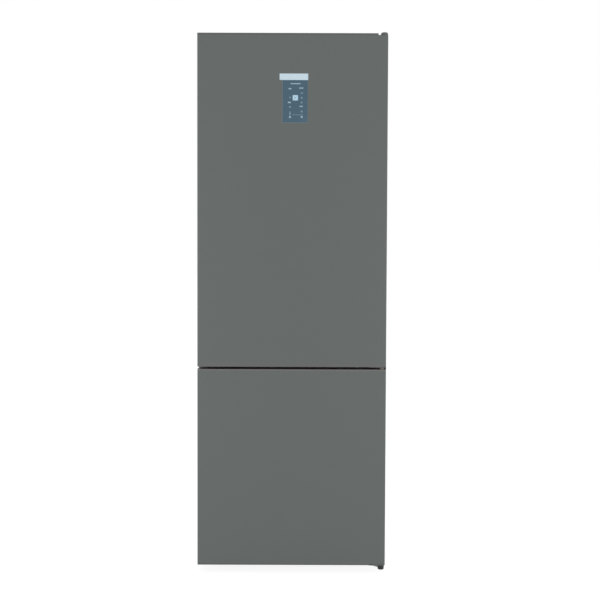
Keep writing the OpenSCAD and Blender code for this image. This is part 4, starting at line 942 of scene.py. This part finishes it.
@dataclass
class Display(SubAssembly):
    """The glass of the display with its bezel and generic marks, and the pale strip above it."""

    corner: float = 1.2 * MM
    edge: float = 0.4 * MM
    bezel_wide: float = 2.0 * MM
    bezel_back: float = 1.0 * MM
    bezel_face: float = 0.4 * MM
    mark_height: float = 0.12 * MM
    mark_sunk: float = 0.05 * MM
    mark_corner: float = 0.4 * MM
    level_x: float = 39.7 * MM
    level_drop: float = 54.5 * MM
    level_size: float = 16.5 * MM
    level_border: float = 5.8 * MM
    level_sunk: float = 0.08 * MM
    left_marks: tuple[tuple[float, float, float, float, bool], ...] = (
        (23, 26.5, 9, 4, True), (23, 53.5, 5, 4, False), (21, 69, 9, 4.5, True), (23, 83, 6, 4.5, False),
        (23, 103, 4, 12, False), (23, 114, 6, 6, True))
    right_marks: tuple[tuple[float, float, float, float, bool], ...] = (
        (58, 24.5, 13, 3.2, True), (59.5, 40, 7, 4, False), (59.5, 54.5, 6, 5, False),
        (59.5, 69, 6, 5, False), (57.5, 81, 10, 3.4, True), (59.5, 97, 7, 5, False),
        (59.5, 113.5, 6, 6, True))
    bars: tuple[tuple[float, float, float, float, bool], ...] = (
        (40, 11, 31, 3.2, True), (47, 107, 34, 1.6, False))

    def build(self) -> None:
        """Models the pane, the strip, the bezel and the marks."""
        low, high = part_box("display_glass")
        front = low.y + 2 * self.mark_height
        pane = Bench.block("display_pane", (low.x, front, low.z), high)
        Bench.bevel(pane, depthwise, self.corner, 4)
        Bench.soften(pane, self.edge)
        self.fit(pane, "fridge_door", PANE_BLUE, "display_glass")
        strip_low, strip_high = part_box("display_strip")
        strip = Bench.block("display_pale_strip", strip_low, strip_high)
        Bench.bevel(strip, depthwise, self.corner, 4)
        Bench.soften(strip, self.edge)
        self.fit(strip, "fridge_door", STRIP_BLUE, "display_strip")
        self._bezel(low, high)
        self._marks(low, high, front)

    def _bezel(self, low: Vector, high: Vector) -> None:
        """Lays the thin moulded line along the glass's left, right and lower edges."""
        wide = self.bezel_wide
        back = low.y + self.bezel_back
        face = low.y + self.bezel_face
        bars = [
            Bench.block("bezel_left", (low.x - wide, face, low.z - wide), (low.x, back, high.z)),
            Bench.block("bezel_right", (high.x, face, low.z - wide), (high.x + 0.5 * wide, back, high.z)),
            Bench.block("bezel_low", (low.x, face, low.z - wide), (high.x, back, low.z)),
        ]
        self.fit(Bench.join(bars, "display_bezel"), "fridge_door", BEZEL_GREY)

    def _marks(self, low: Vector, high: Vector, front: float) -> None:
        """Prints the generic marks in two columns.

        Args:
            low: The pane's lowest corner.
            high: The pane's highest corner.
            front: The pane's front plane.
        """
        groups: dict[bool, list[bpy.types.Object]] = {True: [], False: []}
        marks = self.left_marks + self.right_marks + self.bars
        for index, (x, drop, wide, tall, bright) in enumerate(marks):
            groups[bright].append(self._mark(f"mark_{index}", low.x + x * MM, high.z - drop * MM, wide * MM,
                                             tall * MM, front))
        self.fit(Bench.join(groups[True], "display_marks"), "fridge_door", MARK_PALE)
        self.fit(Bench.join(groups[False], "display_dim_marks"), "fridge_door", MARK_DIM)
        square = self._mark("display_level", low.x + self.level_x, high.z - self.level_drop, self.level_size,
                            self.level_size, front)
        Bench.sink(square, lambda c, n: n.y < -FACING, self.level_border, (0.0, self.level_sunk, 0.0))
        self.fit(square, "fridge_door", MARK_WHITE)

    def _mark(self, name: str, x: float, z: float, wide: float, tall: float,
              front: float) -> bpy.types.Object:
        """One printed mark with its middle at x and z."""
        mark = Bench.block(name, (x - wide / 2, front - self.mark_height, z - tall / 2),
                           (x + wide / 2, front + self.mark_sunk, z + tall / 2))
        Bench.bevel(mark, depthwise, self.mark_corner, 3)
        return mark


@dataclass
class Cabinet(SubAssembly):
    """The folded steel round the foam, with the screws of the rear panel."""

    radii: tuple[tuple[str, float], ...] = (
        ("outer_wrap", 0.7), ("mullion_rail", 0.6), ("base_pan", 0.5), ("rear_panel", 0.3), ("plinth", 0.7))
    screw: float = 4.0 * MM
    screw_rise: float = 1.6 * MM
    screw_edge: float = 11.0 * MM
    screw_pitch: float = 230.0 * MM
    top_screws: tuple[float, ...] = (-0.5, 0.0, 0.5)

    def build(self) -> None:
        """Models the sheets and the row of screws round the rear panel."""
        for node, radius in self.radii:
            self.form(node, radius)
        low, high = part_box("rear_panel")
        side = high.x - self.screw_edge
        top = high.z - self.screw_edge
        rows = int((high.z - low.z) / self.screw_pitch)
        places = [(x, high.y, top - row * self.screw_pitch)
                  for x in (-side, side) for row in range(rows + 1)]
        places += [(share * side, high.y, top) for share in self.top_screws]
        head = Bench.screw_head(self.screw, self.screw_rise)
        screws = Bench.spread(head, places, "rear_panel_screws", (math.radians(-90), 0.0, 0.0))
        self.fit(screws, "cabinet", ZINC)


@dataclass
class Compartment(SubAssembly):
    """A thermoformed lining: the tray that the compartment is, its flange and its moulded ledges."""

    node: str
    outline: tuple[tuple[float, float], ...]
    half: float
    ledges: tuple[tuple[float, float, float], ...]
    ledge_inner: float
    corner: float = 16.0 * MM
    wall: float = 1.5 * MM
    lip: float = 0.1 * MM
    flange_corner: float = 4.0 * MM
    mouth_reach: float = 20.0 * MM
    ledge_tall: float = 10.0 * MM
    ledge_nose: float = 6.0 * MM
    ledge_edge: float = 1.8 * MM
    ledge_share: float = 0.4

    def build(self, runners: Sequence[bpy.types.Object] = ()) -> None:
        """Models the lining.

        Args:
            runners: Shapes moulded on the compartment's floor.
        """
        front = min(y for y, _ in self.outline) + self.lip
        outline = [(max(y, front), z) for y, z in self.outline]
        tray = Bench.prism(f"{self.node}_tray", outline, -self.half, self.half)
        Bench.bevel(tray, lambda a, b: max(a.y, b.y) > front + NEAR, self.corner, 8)
        grow = self.wall / 2
        mouth = Bench.prism("mouth_cutter", self._mouth(front, grow), -self.half - grow, self.half + grow)
        Bench.bevel(mouth, depthwise, self.corner + grow, 8)
        Bench.drop_faces(tray, lambda c, n: c.y < front + NEAR and n.y < -FACING)
        Bench.flip(tray)
        Bench.modify(tray, "SOLIDIFY", thickness=self.wall, offset=-1.0)
        low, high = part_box(self.node)
        flange = Bench.block(f"{self.node}_flange", low, (high.x, low.y + self.wall, high.z))
        Bench.bevel(flange, depthwise, self.flange_corner, 3)
        Bench.cut(flange, [mouth])
        parts = [tray, flange, *runners]
        for top, start, end in self.ledges:
            base = top - self.ledge_tall
            nose = [(start + self.ledge_nose, base), (end, base), (end, top), (start, top),
                    (start, top - self.ledge_share * self.ledge_tall)]
            for side in (-1, 1):
                edges = sorted((side * self.ledge_inner, side * (self.half + self.ledge_share * self.wall)))
                ledge = Bench.prism(f"{self.node}_ledge", nose, *edges)
                Bench.soften(ledge, self.ledge_edge, 3)
                parts.append(ledge)
        self.add(parts, f"{self.node}_moulding", "cabinet", LINER_WHITE, self.node)

    def _mouth(self, front: float, grow: float) -> list[tuple[float, float]]:
        """The opening in the flange, which passes round the middle of the tray's wall."""
        reach = self.mouth_reach
        low = min(z for _, z in self.outline) - grow
        high = max(z for _, z in self.outline) + grow
        return [(front - reach, low), (front + reach, low), (front + reach, high), (front - reach, high)]


@dataclass
class DoorInside(SubAssembly):
    """The moulded inner side of a door: its sheet, its plug, and the rails and rests of the racks."""

    body: str
    plug_half: float
    plug_low: float
    plug_high: float
    plug_face: float
    corner: float = 16.0 * MM
    brow: float = 4.4 * MM
    wall: float = 1.5 * MM
    sheet_edge: float = 0.4 * MM
    panel_margin: float = 40.0 * MM
    panel_deep: float = 1.0 * MM
    panel_corner: float = 12.0 * MM
    panel_edge: float = 0.5 * MM

    def build(self, extra: Sequence[bpy.types.Object] = (),
              panels: Sequence[tuple[float, float]] = ()) -> None:
        """Models the inner side.

        Args:
            extra: Rails and rests.
            panels: Lower and upper edge of each shallow recess in the plug's face.
        """
        node = f"{self.body}_liner"
        low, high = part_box(node)
        back = low.y + self.wall
        sheet = Bench.block(f"{node}_sheet", low, (high.x, back, high.z))
        Bench.soften(sheet, self.sheet_edge)
        plug = Bench.block(f"{node}_plug", (-self.plug_half, low.y, self.plug_low),
                           (self.plug_half, self.plug_face, self.plug_high))
        Bench.bevel(plug, depthwise, self.corner, 8)
        Bench.bevel(plug, lambda a, b: min(a.y, b.y) > self.plug_face - TOUCH, self.brow, 6)
        for bottom, top in panels:
            reach = self.plug_half - self.panel_margin
            cutter = Bench.block("panel_cutter", (-reach, self.plug_face - self.panel_deep, bottom),
                                 (reach, self.plug_face + self.panel_deep, top))
            Bench.bevel(cutter, depthwise, self.panel_corner, 5)
            Bench.cut(plug, [cutter])
        if panels:
            Bench.soften(plug, self.panel_edge)
        self.add([sheet, plug, *extra], f"{node}_moulding", self.body, LINER_WHITE, node)


@dataclass
class RackRails:
    """The two rails on the fridge door's plug and the rests that carry the racks."""

    inner: float = 213.0 * MM
    outer: float = 235.0 * MM
    foot: float = -245.0 * MM
    reach: float = -204.0 * MM
    low: float = 698.5 * MM
    high: float = 1615.5 * MM
    slope: float = 30.0 * MM
    rest_levels: tuple[float, ...] = (712.0 * MM, 962.0 * MM, 1202.0 * MM, 1442.0 * MM)
    rest_in: float = 205.0 * MM
    rest_deep: float = 34.0 * MM
    rest_tall: float = 10.0 * MM
    rest_sunk: float = 0.5 * MM
    rest_edge: float = 1.5 * MM
    rail_edge: float = 4.5 * MM

    def build(self) -> list[bpy.types.Object]:
        """Models the rails and rests.

        Returns:
            The shapes, to be joined to the door's inner side.
        """
        outline = [(self.foot, self.low), (self.reach, self.low + self.slope),
                   (self.reach, self.high - self.slope), (self.foot, self.high)]
        parts = []
        for side in (-1, 1):
            rail = Bench.prism("rack_rail", outline, *sorted((side * self.inner, side * self.outer)))
            Bench.bevel(rail, lambda a, b: max(a.y, b.y) > self.foot + NEAR, self.rail_edge, 4)
            parts.append(rail)
            for level in self.rest_levels:
                edges = sorted((side * self.rest_in, side * (self.inner + self.rest_sunk)))
                rest = Bench.block("rack_rest", (edges[0], self.foot, level - self.rest_tall),
                                   (edges[1], self.foot + self.rest_deep, level))
                Bench.soften(rest, self.rest_edge, 3)
                parts.append(rest)
        return parts


@dataclass
class DoorRacks(SubAssembly):
    """The clear racks of the fridge door with their thickened rims, and the dairy rack's lid."""

    rim: float = 2.2 * MM
    corner: float = 22.0 * MM
    wall: float = 2.5 * MM
    rack_pitch: float = 240.0 * MM
    edge_mm: float = 0.9
    lid_edge_mm: float = 0.7
    rib_end: float = 40.0 * MM
    rib_rise: float = 0.8 * MM
    rib_wide: float = 3.0 * MM
    rib_edge: float = 0.6 * MM
    rib_shares: tuple[float, ...] = (0.3, 0.42)
    rim_share: float = 0.6

    def build(self) -> None:
        """Models the racks and the lid."""
        deep_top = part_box("door_bottle_rack")[1].z
        deep = self.form("door_bottle_rack", self.edge_mm, extra=[
            self._rim("door_bottle_rack", deep_top), *self._ribs("door_bottle_rack")])
        self._tint_rims(deep, (deep_top,))
        rack_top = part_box("door_racks")[1].z
        tops = (rack_top, rack_top - self.rack_pitch)
        racks = self.form("door_racks", self.edge_mm, extra=[self._rim("door_racks", top) for top in tops])
        self._tint_rims(racks, tops)
        dairy = self.form("dairy_rack", self.edge_mm)
        self._tint_rims(dairy, (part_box("dairy_rack")[1].z,))
        self.form("dairy_lid", self.lid_edge_mm)

    def _tint_rims(self, rack: bpy.types.Object, tops: Sequence[float]) -> None:
        """Makes the thick rims of racks look denser than their walls.

        Args:
            rack: The piece that holds the racks.
            tops: Height of each rack's top.
        """
        self.tint(rack, CLEAR_RIM, lambda c, n: any(0 <= top - c.z < 2 * self.rim for top in tops))

    def _rim(self, node: str, top: float) -> bpy.types.Object:
        """Bends the rim round a rack's open side.

        Args:
            node: The rack.
            top: Height of the rack's top.

        Returns:
            The rim.
        """
        low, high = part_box(node)
        z = top - self.rim_share * self.rim
        inset = self.wall / 2
        left, right = low.x + inset, high.x - inset
        back, front = low.y + inset, high.y - inset
        path = [(left, back, z), (left, front, z), (right, front, z), (right, back, z)]
        return Bench.tube("rack_rim", path, self.rim, self.corner)

    def _ribs(self, node: str) -> list[bpy.types.Object]:
        """Two shallow ribs along a deep rack's front."""
        low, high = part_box(node)
        ribs = []
        for share in self.rib_shares:
            z = low.z + share * (high.z - low.z)
            rib = Bench.block("rack_rib", (low.x + self.rib_end, high.y - self.rib_rise, z),
                              (high.x - self.rib_end, high.y + self.rib_rise, z + self.rib_wide))
            Bench.soften(rib, self.rib_edge)
            ribs.append(rib)
        return ribs


@dataclass
class Shelves(SubAssembly):
    """The glass shelves with their polished edges and trims, and the crisper's cover with its frame and
    humidity slider.
    """

    corner: float = 5.0 * MM
    polish: float = 1.0 * MM
    radii: tuple[tuple[str, float, Optional[Finish]], ...] = (
        ("shelf_trims", 0.9, SHELF_TRIM), ("crisper_shelf_frame", 1.0, None), ("humidity_slider", 0.5, None))

    def build(self) -> None:
        """Models the shelves."""
        panes = Bench.loose_parts(Bench.copy_of(self.nodes["shelf_glass"], "shelf_pane"))
        for number, pane in enumerate(panes, 1):
            pane.name = f"shelf_pane_{number}"
            self._pane(pane, *(("shelf_glass",) if number == 1 else ()))
        cover = Bench.copy_of(self.nodes["crisper_shelf_glass"], "crisper_pane")
        self._pane(cover, "crisper_shelf_glass")
        for node, radius, finish in self.radii:
            self.form(node, radius, finish)

    def _pane(self, pane: bpy.types.Object, *replaced: str) -> None:
        """Polishes a pane's edges, which look deeper green than its faces."""
        Bench.bevel(pane, upright, self.corner, 4)
        Bench.soften(pane, self.polish)
        self.fit(pane, "cabinet", SHELF_GLASS, *replaced)
        self.tint(pane, GLASS_EDGE, lambda c, n: abs(n.z) < FACING)


@dataclass
class Drawers(SubAssembly):
    """The clear drawers of the fridge and of the freezer, with their stiffening ribs."""

    fridge: tuple[str, ...] = ("crisper_drawer", "chiller_drawer")
    freezer: tuple[str, ...] = ("freezer_drawer_top", "freezer_drawer_middle", "freezer_drawer_bottom")
    fridge_front: tuple[float, float, int] = (2.0 * MM, 34.0 * MM, 12)
    freezer_front: tuple[float, float, int] = (3.0 * MM, 56.0 * MM, 9)
    edge_mm: float = 0.9
    rib: float = 1.1 * MM
    rib_wide: float = 5.0 * MM
    rib_edge: float = 0.6 * MM
    rib_margin: float = 12.0 * MM
    rib_side: float = 34.0 * MM
    rim_tall: float = 5.0 * MM

    def build(self) -> None:
        """Models all five drawers."""
        for nodes, rim, front in ((self.fridge, CLEAR_RIM, self.fridge_front),
                                  (self.freezer, FROST_RIM, self.freezer_front)):
            for node in nodes:
                self._drawer(node, rim, self._front_ribs(node, *front))

    def _drawer(self, node: str, rim: Finish, ribs: bpy.types.Object) -> None:
        """Models one drawer.

        Args:
            node: The drawer.
            rim: Finish of its rim, where the plastic is thick.
            ribs: The ribs on its front.
        """
        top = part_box(node)[1].z
        drawer = self.form(node, self.edge_mm, extra=[ribs])
        self.tint(drawer, rim, lambda c, n: c.z > top - self.rim_tall)

    def _front_ribs(self, node: str, face: float, drop: float, count: int) -> bpy.types.Object:
        """Upright ribs moulded on a drawer's front.

        Args:
            node: The drawer.
            face: How far the front's lower face stays behind the drawer's foremost plane.
            drop: How far below the drawer's top the ribs end.
            count: How many ribs there are.

        Returns:
            The ribs.
        """
        low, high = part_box(node)
        reach = high.x - self.rib_side
        half = self.rib_wide / 2
        tall = high.z - low.z - drop - self.rib_margin
        master = Bench.block("drawer_rib", (-half, -self.rib, 0), (half, self.rib, tall))
        Bench.soften(master, self.rib_edge)
        places = [(reach * (2 * i / (count - 1) - 1), low.y + face, low.z + self.rib_margin)
                  for i in range(count)]
        return Bench.spread(master, places, f"{node}_ribs")


@dataclass
class Cooling(SubAssembly):
    """The compressor with its copper pipes, the tray over it, and the rest of the cooling system."""

    radii: tuple[tuple[str, float], ...] = (
        ("compressor", 1.2), ("compressor_mounts", 0.8), ("relay_box", 1.2), ("drip_tray", 0.8),
        ("wall_spacers", 1.2), ("fridge_duct_panel", 0.9), ("lamp_cover", 1.2), ("evaporator_cover", 1.0),
        ("fan_motor", 0.6), ("fan_blade", 0.5), ("damper_flap", 0.3))
    pipe: float = 3.2 * MM
    thin_pipe: float = 1.0 * MM
    bend: float = 14.0 * MM
    stub_bend: float = 6.0 * MM
    stub_share: float = 0.8
    pan_wall: float = 1.5 * MM
    pot_rim: float = 22.0 * MM
    pot_gap: float = 6.0 * MM
    entry_rise: float = 54.0 * MM
    entry_step: float = 30.0 * MM
    spout_radius: float = 7.0 * MM
    spout_rise: float = 18.0 * MM
    spout_edge: float = 1.0 * MM

    def build(self) -> None:
        """Models the cooling system's rigid parts and lays its pipes."""
        for node, radius in self.radii:
            self.form(node, radius)
        low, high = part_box("compressor")
        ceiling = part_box("base_pan")[1].z - self.pan_wall
        middle = (low + high) / 2
        pot = (high.x - low.x) / 2 - self.pot_rim
        behind = middle.y + pot + self.pot_gap
        entry = low.z + self.entry_rise
        x, y = middle.x, middle.y
        upper = entry + self.entry_step
        suction = [(x + 0.45 * pot, y + 0.8 * pot, entry), (x + 0.6 * pot, behind, entry),
                   (x + 1.9 * pot, behind, entry), (x + 2.1 * pot, y, upper), (x + 2.1 * pot, y, ceiling)]
        discharge = [(x - 0.45 * pot, y + 0.8 * pot, upper), (x - 0.6 * pot, behind, upper),
                     (x - 1.7 * pot, behind, upper), (x - 1.8 * pot, y, upper + self.entry_step),
                     (x - 1.8 * pot, y, ceiling)]
        stub = [(x, y + 0.9 * pot, entry + 12 * MM), (x, behind + 4 * MM, entry + 12 * MM),
                (x, behind + 8 * MM, entry + 50 * MM)]
        outlet_x, outlet_y, outlet_z = x - 20 * MM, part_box("condenser_tube")[1].y - 8 * MM, low.z + 90 * MM
        thin = [(outlet_x, outlet_y, outlet_z), (outlet_x + 40 * MM, outlet_y, outlet_z),
                (outlet_x + 60 * MM, behind + 10 * MM, outlet_z + 20 * MM),
                (outlet_x + 60 * MM, behind + 10 * MM, ceiling)]
        pipes = [Bench.tube("suction_pipe", suction, self.pipe, self.bend),
                 Bench.tube("discharge_pipe", discharge, self.stub_share * self.pipe, self.bend),
                 Bench.tube("filling_stub", stub, self.stub_share * self.pipe, self.stub_bend),
                 Bench.tube("capillary_pipe", thin, self.thin_pipe, self.bend)]
        self.add(pipes, "copper_pipes", "cabinet", COPPER)
        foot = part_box("drip_tray")[0].z + self.spout_rise
        spout = Bench.round_bar("drain_spout", self.spout_radius, (x + 0.5 * pot, y, foot),
                                (x + 0.5 * pot, y, ceiling))
        Bench.soften(spout, self.spout_edge)
        self.fit(spout, "cabinet", DARK_PLASTIC)


@dataclass
class Hinges(SubAssembly):
    """The plated hinges with the nose of the middle one, the doors' seals and their grips. A dark block at
    the right end of the door gap and the dark nose of the bottom hinge are painted shade.
    """

    radii: tuple[tuple[str, float], ...] = (
        ("top_hinge", 0.5), ("fridge_door_seal", 0.5), ("freezer_door_seal", 0.5),
        ("fridge_door_grip", 1.2), ("freezer_door_grip", 1.2), ("display_housing", 0.6))
    middle_edge_mm: float = 0.35
    bottom_edge_mm: float = 0.5
    nose: float = 12.0 * MM
    buffer_corner: float = 2.0 * MM
    buffer_edge: float = 0.5 * MM
    # Corner beyond which the bottom hinge's nose is painted dark, as painted shade under the door
    dark_end: Sequence[float] = (274.0 * MM, -290.0 * MM, 22.5 * MM)
    # Where the dark block sits; its dark colour is painted shade
    buffer_low: Sequence[float] = (291.0 * MM, -310.0 * MM, 646.4 * MM)
    buffer_high: Sequence[float] = (297.4 * MM, -296.0 * MM, 652.0 * MM)

    def build(self) -> None:
        """Models the pieces between the doors and the cabinet."""
        for node, radius in self.radii:
            self.form(node, radius)
        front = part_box("middle_hinge")[0].y
        hinge = self.form("middle_hinge", self.middle_edge_mm)
        self.tint(hinge, HINGE_NOSE, lambda c, n: c.y < front + self.nose)
        lowest = self.form("bottom_hinge", self.bottom_edge_mm)
        # The bottom hinge's nose, just under the freezer door's bottom edge, is painted dark: painted shade
        # for the shade under the door
        x, y, z = self.dark_end
        self.tint(lowest, DARK_PLASTIC, lambda c, n: c.x > x and c.y < y and c.z < z)
        # A dark block at the right end of the gap between the doors; its dark colour is painted shade for the
        # shaded notch there
        shade_block = Bench.block("hinge_buffer", self.buffer_low, self.buffer_high)
        Bench.bevel(shade_block, upright, self.buffer_corner, 4)
        Bench.soften(shade_block, self.buffer_edge)
        self.fit(shade_block, "cabinet", SHADE_BLOCK)


@dataclass
class Studio:
    """The camera at the photograph's viewing angle, the soft lights and the white floor."""

    distance: float = 4000 * MM
    eye_height: float = 1063 * MM
    side_step: float = 24.6 * MM
    pitch_down: float = 2.843
    roll: float = -0.20
    lens: float = 76.75
    world_light: float = 0.5
    floor_size: float = 60.0
    floor_glow: float = 1.38
    floor_share: float = 0.65
    floor_white: float = 0.8
    sensor: float = 36.0
    sight: float = 100.0
    aim: tuple[float, float, float] = (0.0, 0.0, 0.85)
    lamps: tuple[tuple[str, tuple[float, float, float], float, float], ...] = (
        ("lamp_left", (-3.2, -4.4, 0.3), 2.6, 45.5), ("lamp_right", (3.2, -4.4, 0.3), 2.6, 45.5),
        ("lamp_top", (0.0, 0.4, 4.2), 3.0, 26.0))

    def build(self, door_front: float) -> None:
        """Sets up the studio.

        Args:
            door_front: The plane of the doors' front along Y.
        """
        self._camera(door_front)
        self._world()
        self._floor()
        self._lamps()
        bpy.context.scene.view_settings.view_transform = "Standard"

    def _camera(self, door_front: float) -> None:
        """Places the camera as far from the doors' front as the photograph's."""
        data = bpy.data.cameras.new("camera")
        data.lens = self.lens
        data.sensor_width = self.sensor
        data.clip_end = self.sight
        camera = Bench.place("camera", data)
        camera.location = (self.side_step, door_front - self.distance, self.eye_height)
        camera.rotation_euler = (math.radians(90 - self.pitch_down), math.radians(self.roll), 0.0)
        bpy.context.scene.camera = camera

    @staticmethod
    def _backdrop_ray(sheet: Sheet) -> Wire:
        """1 for the rays that meet the white backdrop, from the camera and from glossy and clear surfaces."""
        rays = [sheet.node("ShaderNodeLightPath", output=name)
                for name in ("Is Camera Ray", "Is Glossy Ray", "Is Transmission Ray")]
        return rays[0].most(rays[1]).most(rays[2])

    def _world(self) -> None:
        """A white backdrop, and a soft grey light on the object."""
        world = bpy.data.worlds.new("studio")
        bpy.context.scene.world = world
        sheet = Sheet(world)
        lit = sheet.node("ShaderNodeBackground", {}, {"Color": WHITE, "Strength": self.world_light})
        white = sheet.node("ShaderNodeBackground", {}, {"Color": WHITE, "Strength": 1.0})
        mixed = sheet.node("ShaderNodeMixShader", {}, {0: self._backdrop_ray(sheet), 1: lit, 2: white})
        sheet.node("ShaderNodeOutputWorld", {}, {"Surface": mixed})

    def _floor(self) -> None:
        """A wide white floor that keeps the object's shadow."""
        bpy.ops.object.select_all(action="DESELECT")
        bpy.ops.mesh.primitive_plane_add(size=self.floor_size, location=(0.0, 0.0, 0.0))
        floor = bpy.context.active_object
        floor.name = "studio_floor"
        sheet = Sheet(bpy.data.materials.new("studio_white"))
        matt = sheet.node("ShaderNodeBsdfDiffuse", {}, {"Color": (*[self.floor_white] * 3, 1.0)})
        bright = sheet.node("ShaderNodeEmission", {}, {"Color": WHITE, "Strength": self.floor_glow})
        share = self._backdrop_ray(sheet) * self.floor_share
        mixed = sheet.node("ShaderNodeMixShader", {}, {0: share, 1: matt, 2: bright})
        sheet.node("ShaderNodeOutputMaterial", {}, {"Surface": mixed})
        floor.data.materials.append(sheet.holder)

    def _lamps(self) -> None:
        """Two large soft lamps at the front and one overhead."""
        for name, place, size, watts in self.lamps:
            data = bpy.data.lights.new(name, "AREA")
            data.shape = "DISK"
            data.size = size
            data.energy = watts
            lamp = Bench.place(name, data)
            lamp.location = place
            lamp.rotation_euler = (Vector(self.aim) - Vector(place)).to_track_quat("-Z", "Y").to_euler()


def door_cutters(pocket_node: str) -> list[bpy.types.Object]:
    """Opens a door's sheet over its grip pocket.

    Args:
        pocket_node: The CAD node of the grip.

    Returns:
        One cutter.
    """
    low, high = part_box(pocket_node)
    reach, deep = 2 * MM, 4 * MM
    return [Bench.block("pocket_cutter", (low.x - reach, low.y, low.z), (low.x + deep, high.y, high.z))]


def window_cutters() -> list[bpy.types.Object]:
    """Shapes that open the fridge door's sheet for the display's pane and strip."""
    gap = Vector((0.3 * MM, 0.0, 0.3 * MM))
    cutters = []
    for node in ("display_glass", "display_strip"):
        low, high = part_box(node)
        cutters.append(Bench.block(f"{node}_cutter", low - gap - Vector((0, 2 * MM, 0)), high + gap))
    return cutters


def fridge_compartment(kit: tuple) -> None:
    """Models the lining of the fridge compartment.

    Args:
        kit: What every sub-assembly shares.
    """
    front, back, floor, ceiling = -256 * MM, 227 * MM, 678 * MM, 1636 * MM
    shelf_front, half, ledge_inner = -147 * MM, 245.5 * MM, 233.5 * MM
    runner_front, runner_back, runner_tall, runner_edge = -137 * MM, 197 * MM, 3.7 * MM, 1 * MM
    runner_in, runner_out = 204 * MM, 212 * MM
    levels = (854 * MM, 985 * MM, 1108 * MM, 1235 * MM, 1430 * MM)
    outline = ((front, floor), (back, floor), (back, ceiling), (front, ceiling))
    runners = []
    for side in (-1, 1):
        edges = sorted((side * runner_in, side * runner_out))
        runner = Bench.block("crisper_runner", (edges[0], runner_front, floor - runner_edge),
                             (edges[1], runner_back, floor + runner_tall))
        Bench.soften(runner, runner_edge, 3)
        runners.append(runner)
    ledges = tuple((level, shelf_front, back) for level in levels)
    Compartment(*kit, "fridge_liner", outline, half, ledges, ledge_inner).build(runners)


def freezer_compartment(kit: tuple) -> None:
    """Models the lining of the freezer compartment, which steps over the compressor bay.

    Args:
        kit: What every sub-assembly shares.
    """
    front, back, floor, ceiling = -256 * MM, 227 * MM, 100 * MM, 622 * MM
    step_back, step_floor = 32 * MM, 300 * MM
    outline = ((front, floor), (step_back, floor), (step_back, step_floor), (back, step_floor),
               (back, ceiling), (front, ceiling))
    ledge_front, short_end, long_end = -204 * MM, 28 * MM, 159 * MM
    half, ledge_inner = 235.5 * MM, 220.5 * MM
    ledges = ((283.7 * MM, ledge_front, short_end), (444.7 * MM, ledge_front, long_end),
              (605.7 * MM, ledge_front, long_end))
    Compartment(*kit, "freezer_liner", outline, half, ledges, ledge_inner).build()


def doors(kit: tuple) -> None:
    """Models both doors: sheets, caps with their plugs, and the inner sides with what is moulded on them.

    Args:
        kit: What every sub-assembly shares.
    """
    DoorShell(*kit, "fridge_door").build(door_cutters("fridge_door_grip") + window_cutters())
    DoorShell(*kit, "freezer_door").build(door_cutters("freezer_door_grip"))
    fridge_plug, freezer_plug = (250 * MM, 661 * MM), (254 * MM, 28 * MM)
    # The lower fridge cap and the upper freezer cap meet at the door gap and take the lighter finishes, which
    # are painted light
    DoorCaps(*kit).build("fridge_door", CAP_BAND_LIT, CAP_DOOR, [fridge_plug], TRIM_GREY)
    DoorCaps(*kit).build("freezer_door", CAP_DOOR, CAP_TOP_LIT, [freezer_plug], DARK_PLASTIC)
    half, low, high, face = 239 * MM, 684.5 * MM, 1629.5 * MM, -244 * MM
    DoorInside(*kit, "fridge_door", half, low, high, face).build(RackRails().build())
    half, low, high, face = 229 * MM, 106.5 * MM, 615.5 * MM, -250 * MM
    panel_low, panel_high, panel_pitch, panel_count = 160, 260, 150, 3
    panels = [((panel_low + panel_pitch * i) * MM, (panel_high + panel_pitch * i) * MM)
              for i in range(panel_count)]
    DoorInside(*kit, "freezer_door", half, low, high, face).build((), panels)


def main() -> None:
    """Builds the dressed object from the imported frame."""
    logging.basicConfig(level=logging.INFO, format="%(name)s: %(message)s")
    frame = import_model()
    palette = Palette()
    studio = Studio()
    studio.build(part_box("freezer_door_skin")[0].y)
    owner = {node: body for body, nodes in frame["record"]["behaviour"]["bodies"].items() for node in nodes}
    kit = (palette, frame["nodes"], owner)
    dress_nodes(palette, frame["nodes"])
    doors(kit)
    fridge_compartment(kit)
    freezer_compartment(kit)
    for assembly in (Display, HingeCover, Hinges, Feet, Cabinet, DoorRacks, Shelves, Drawers, Cooling):
        assembly(*kit).build()


if __name__ == "__main__":
    main()
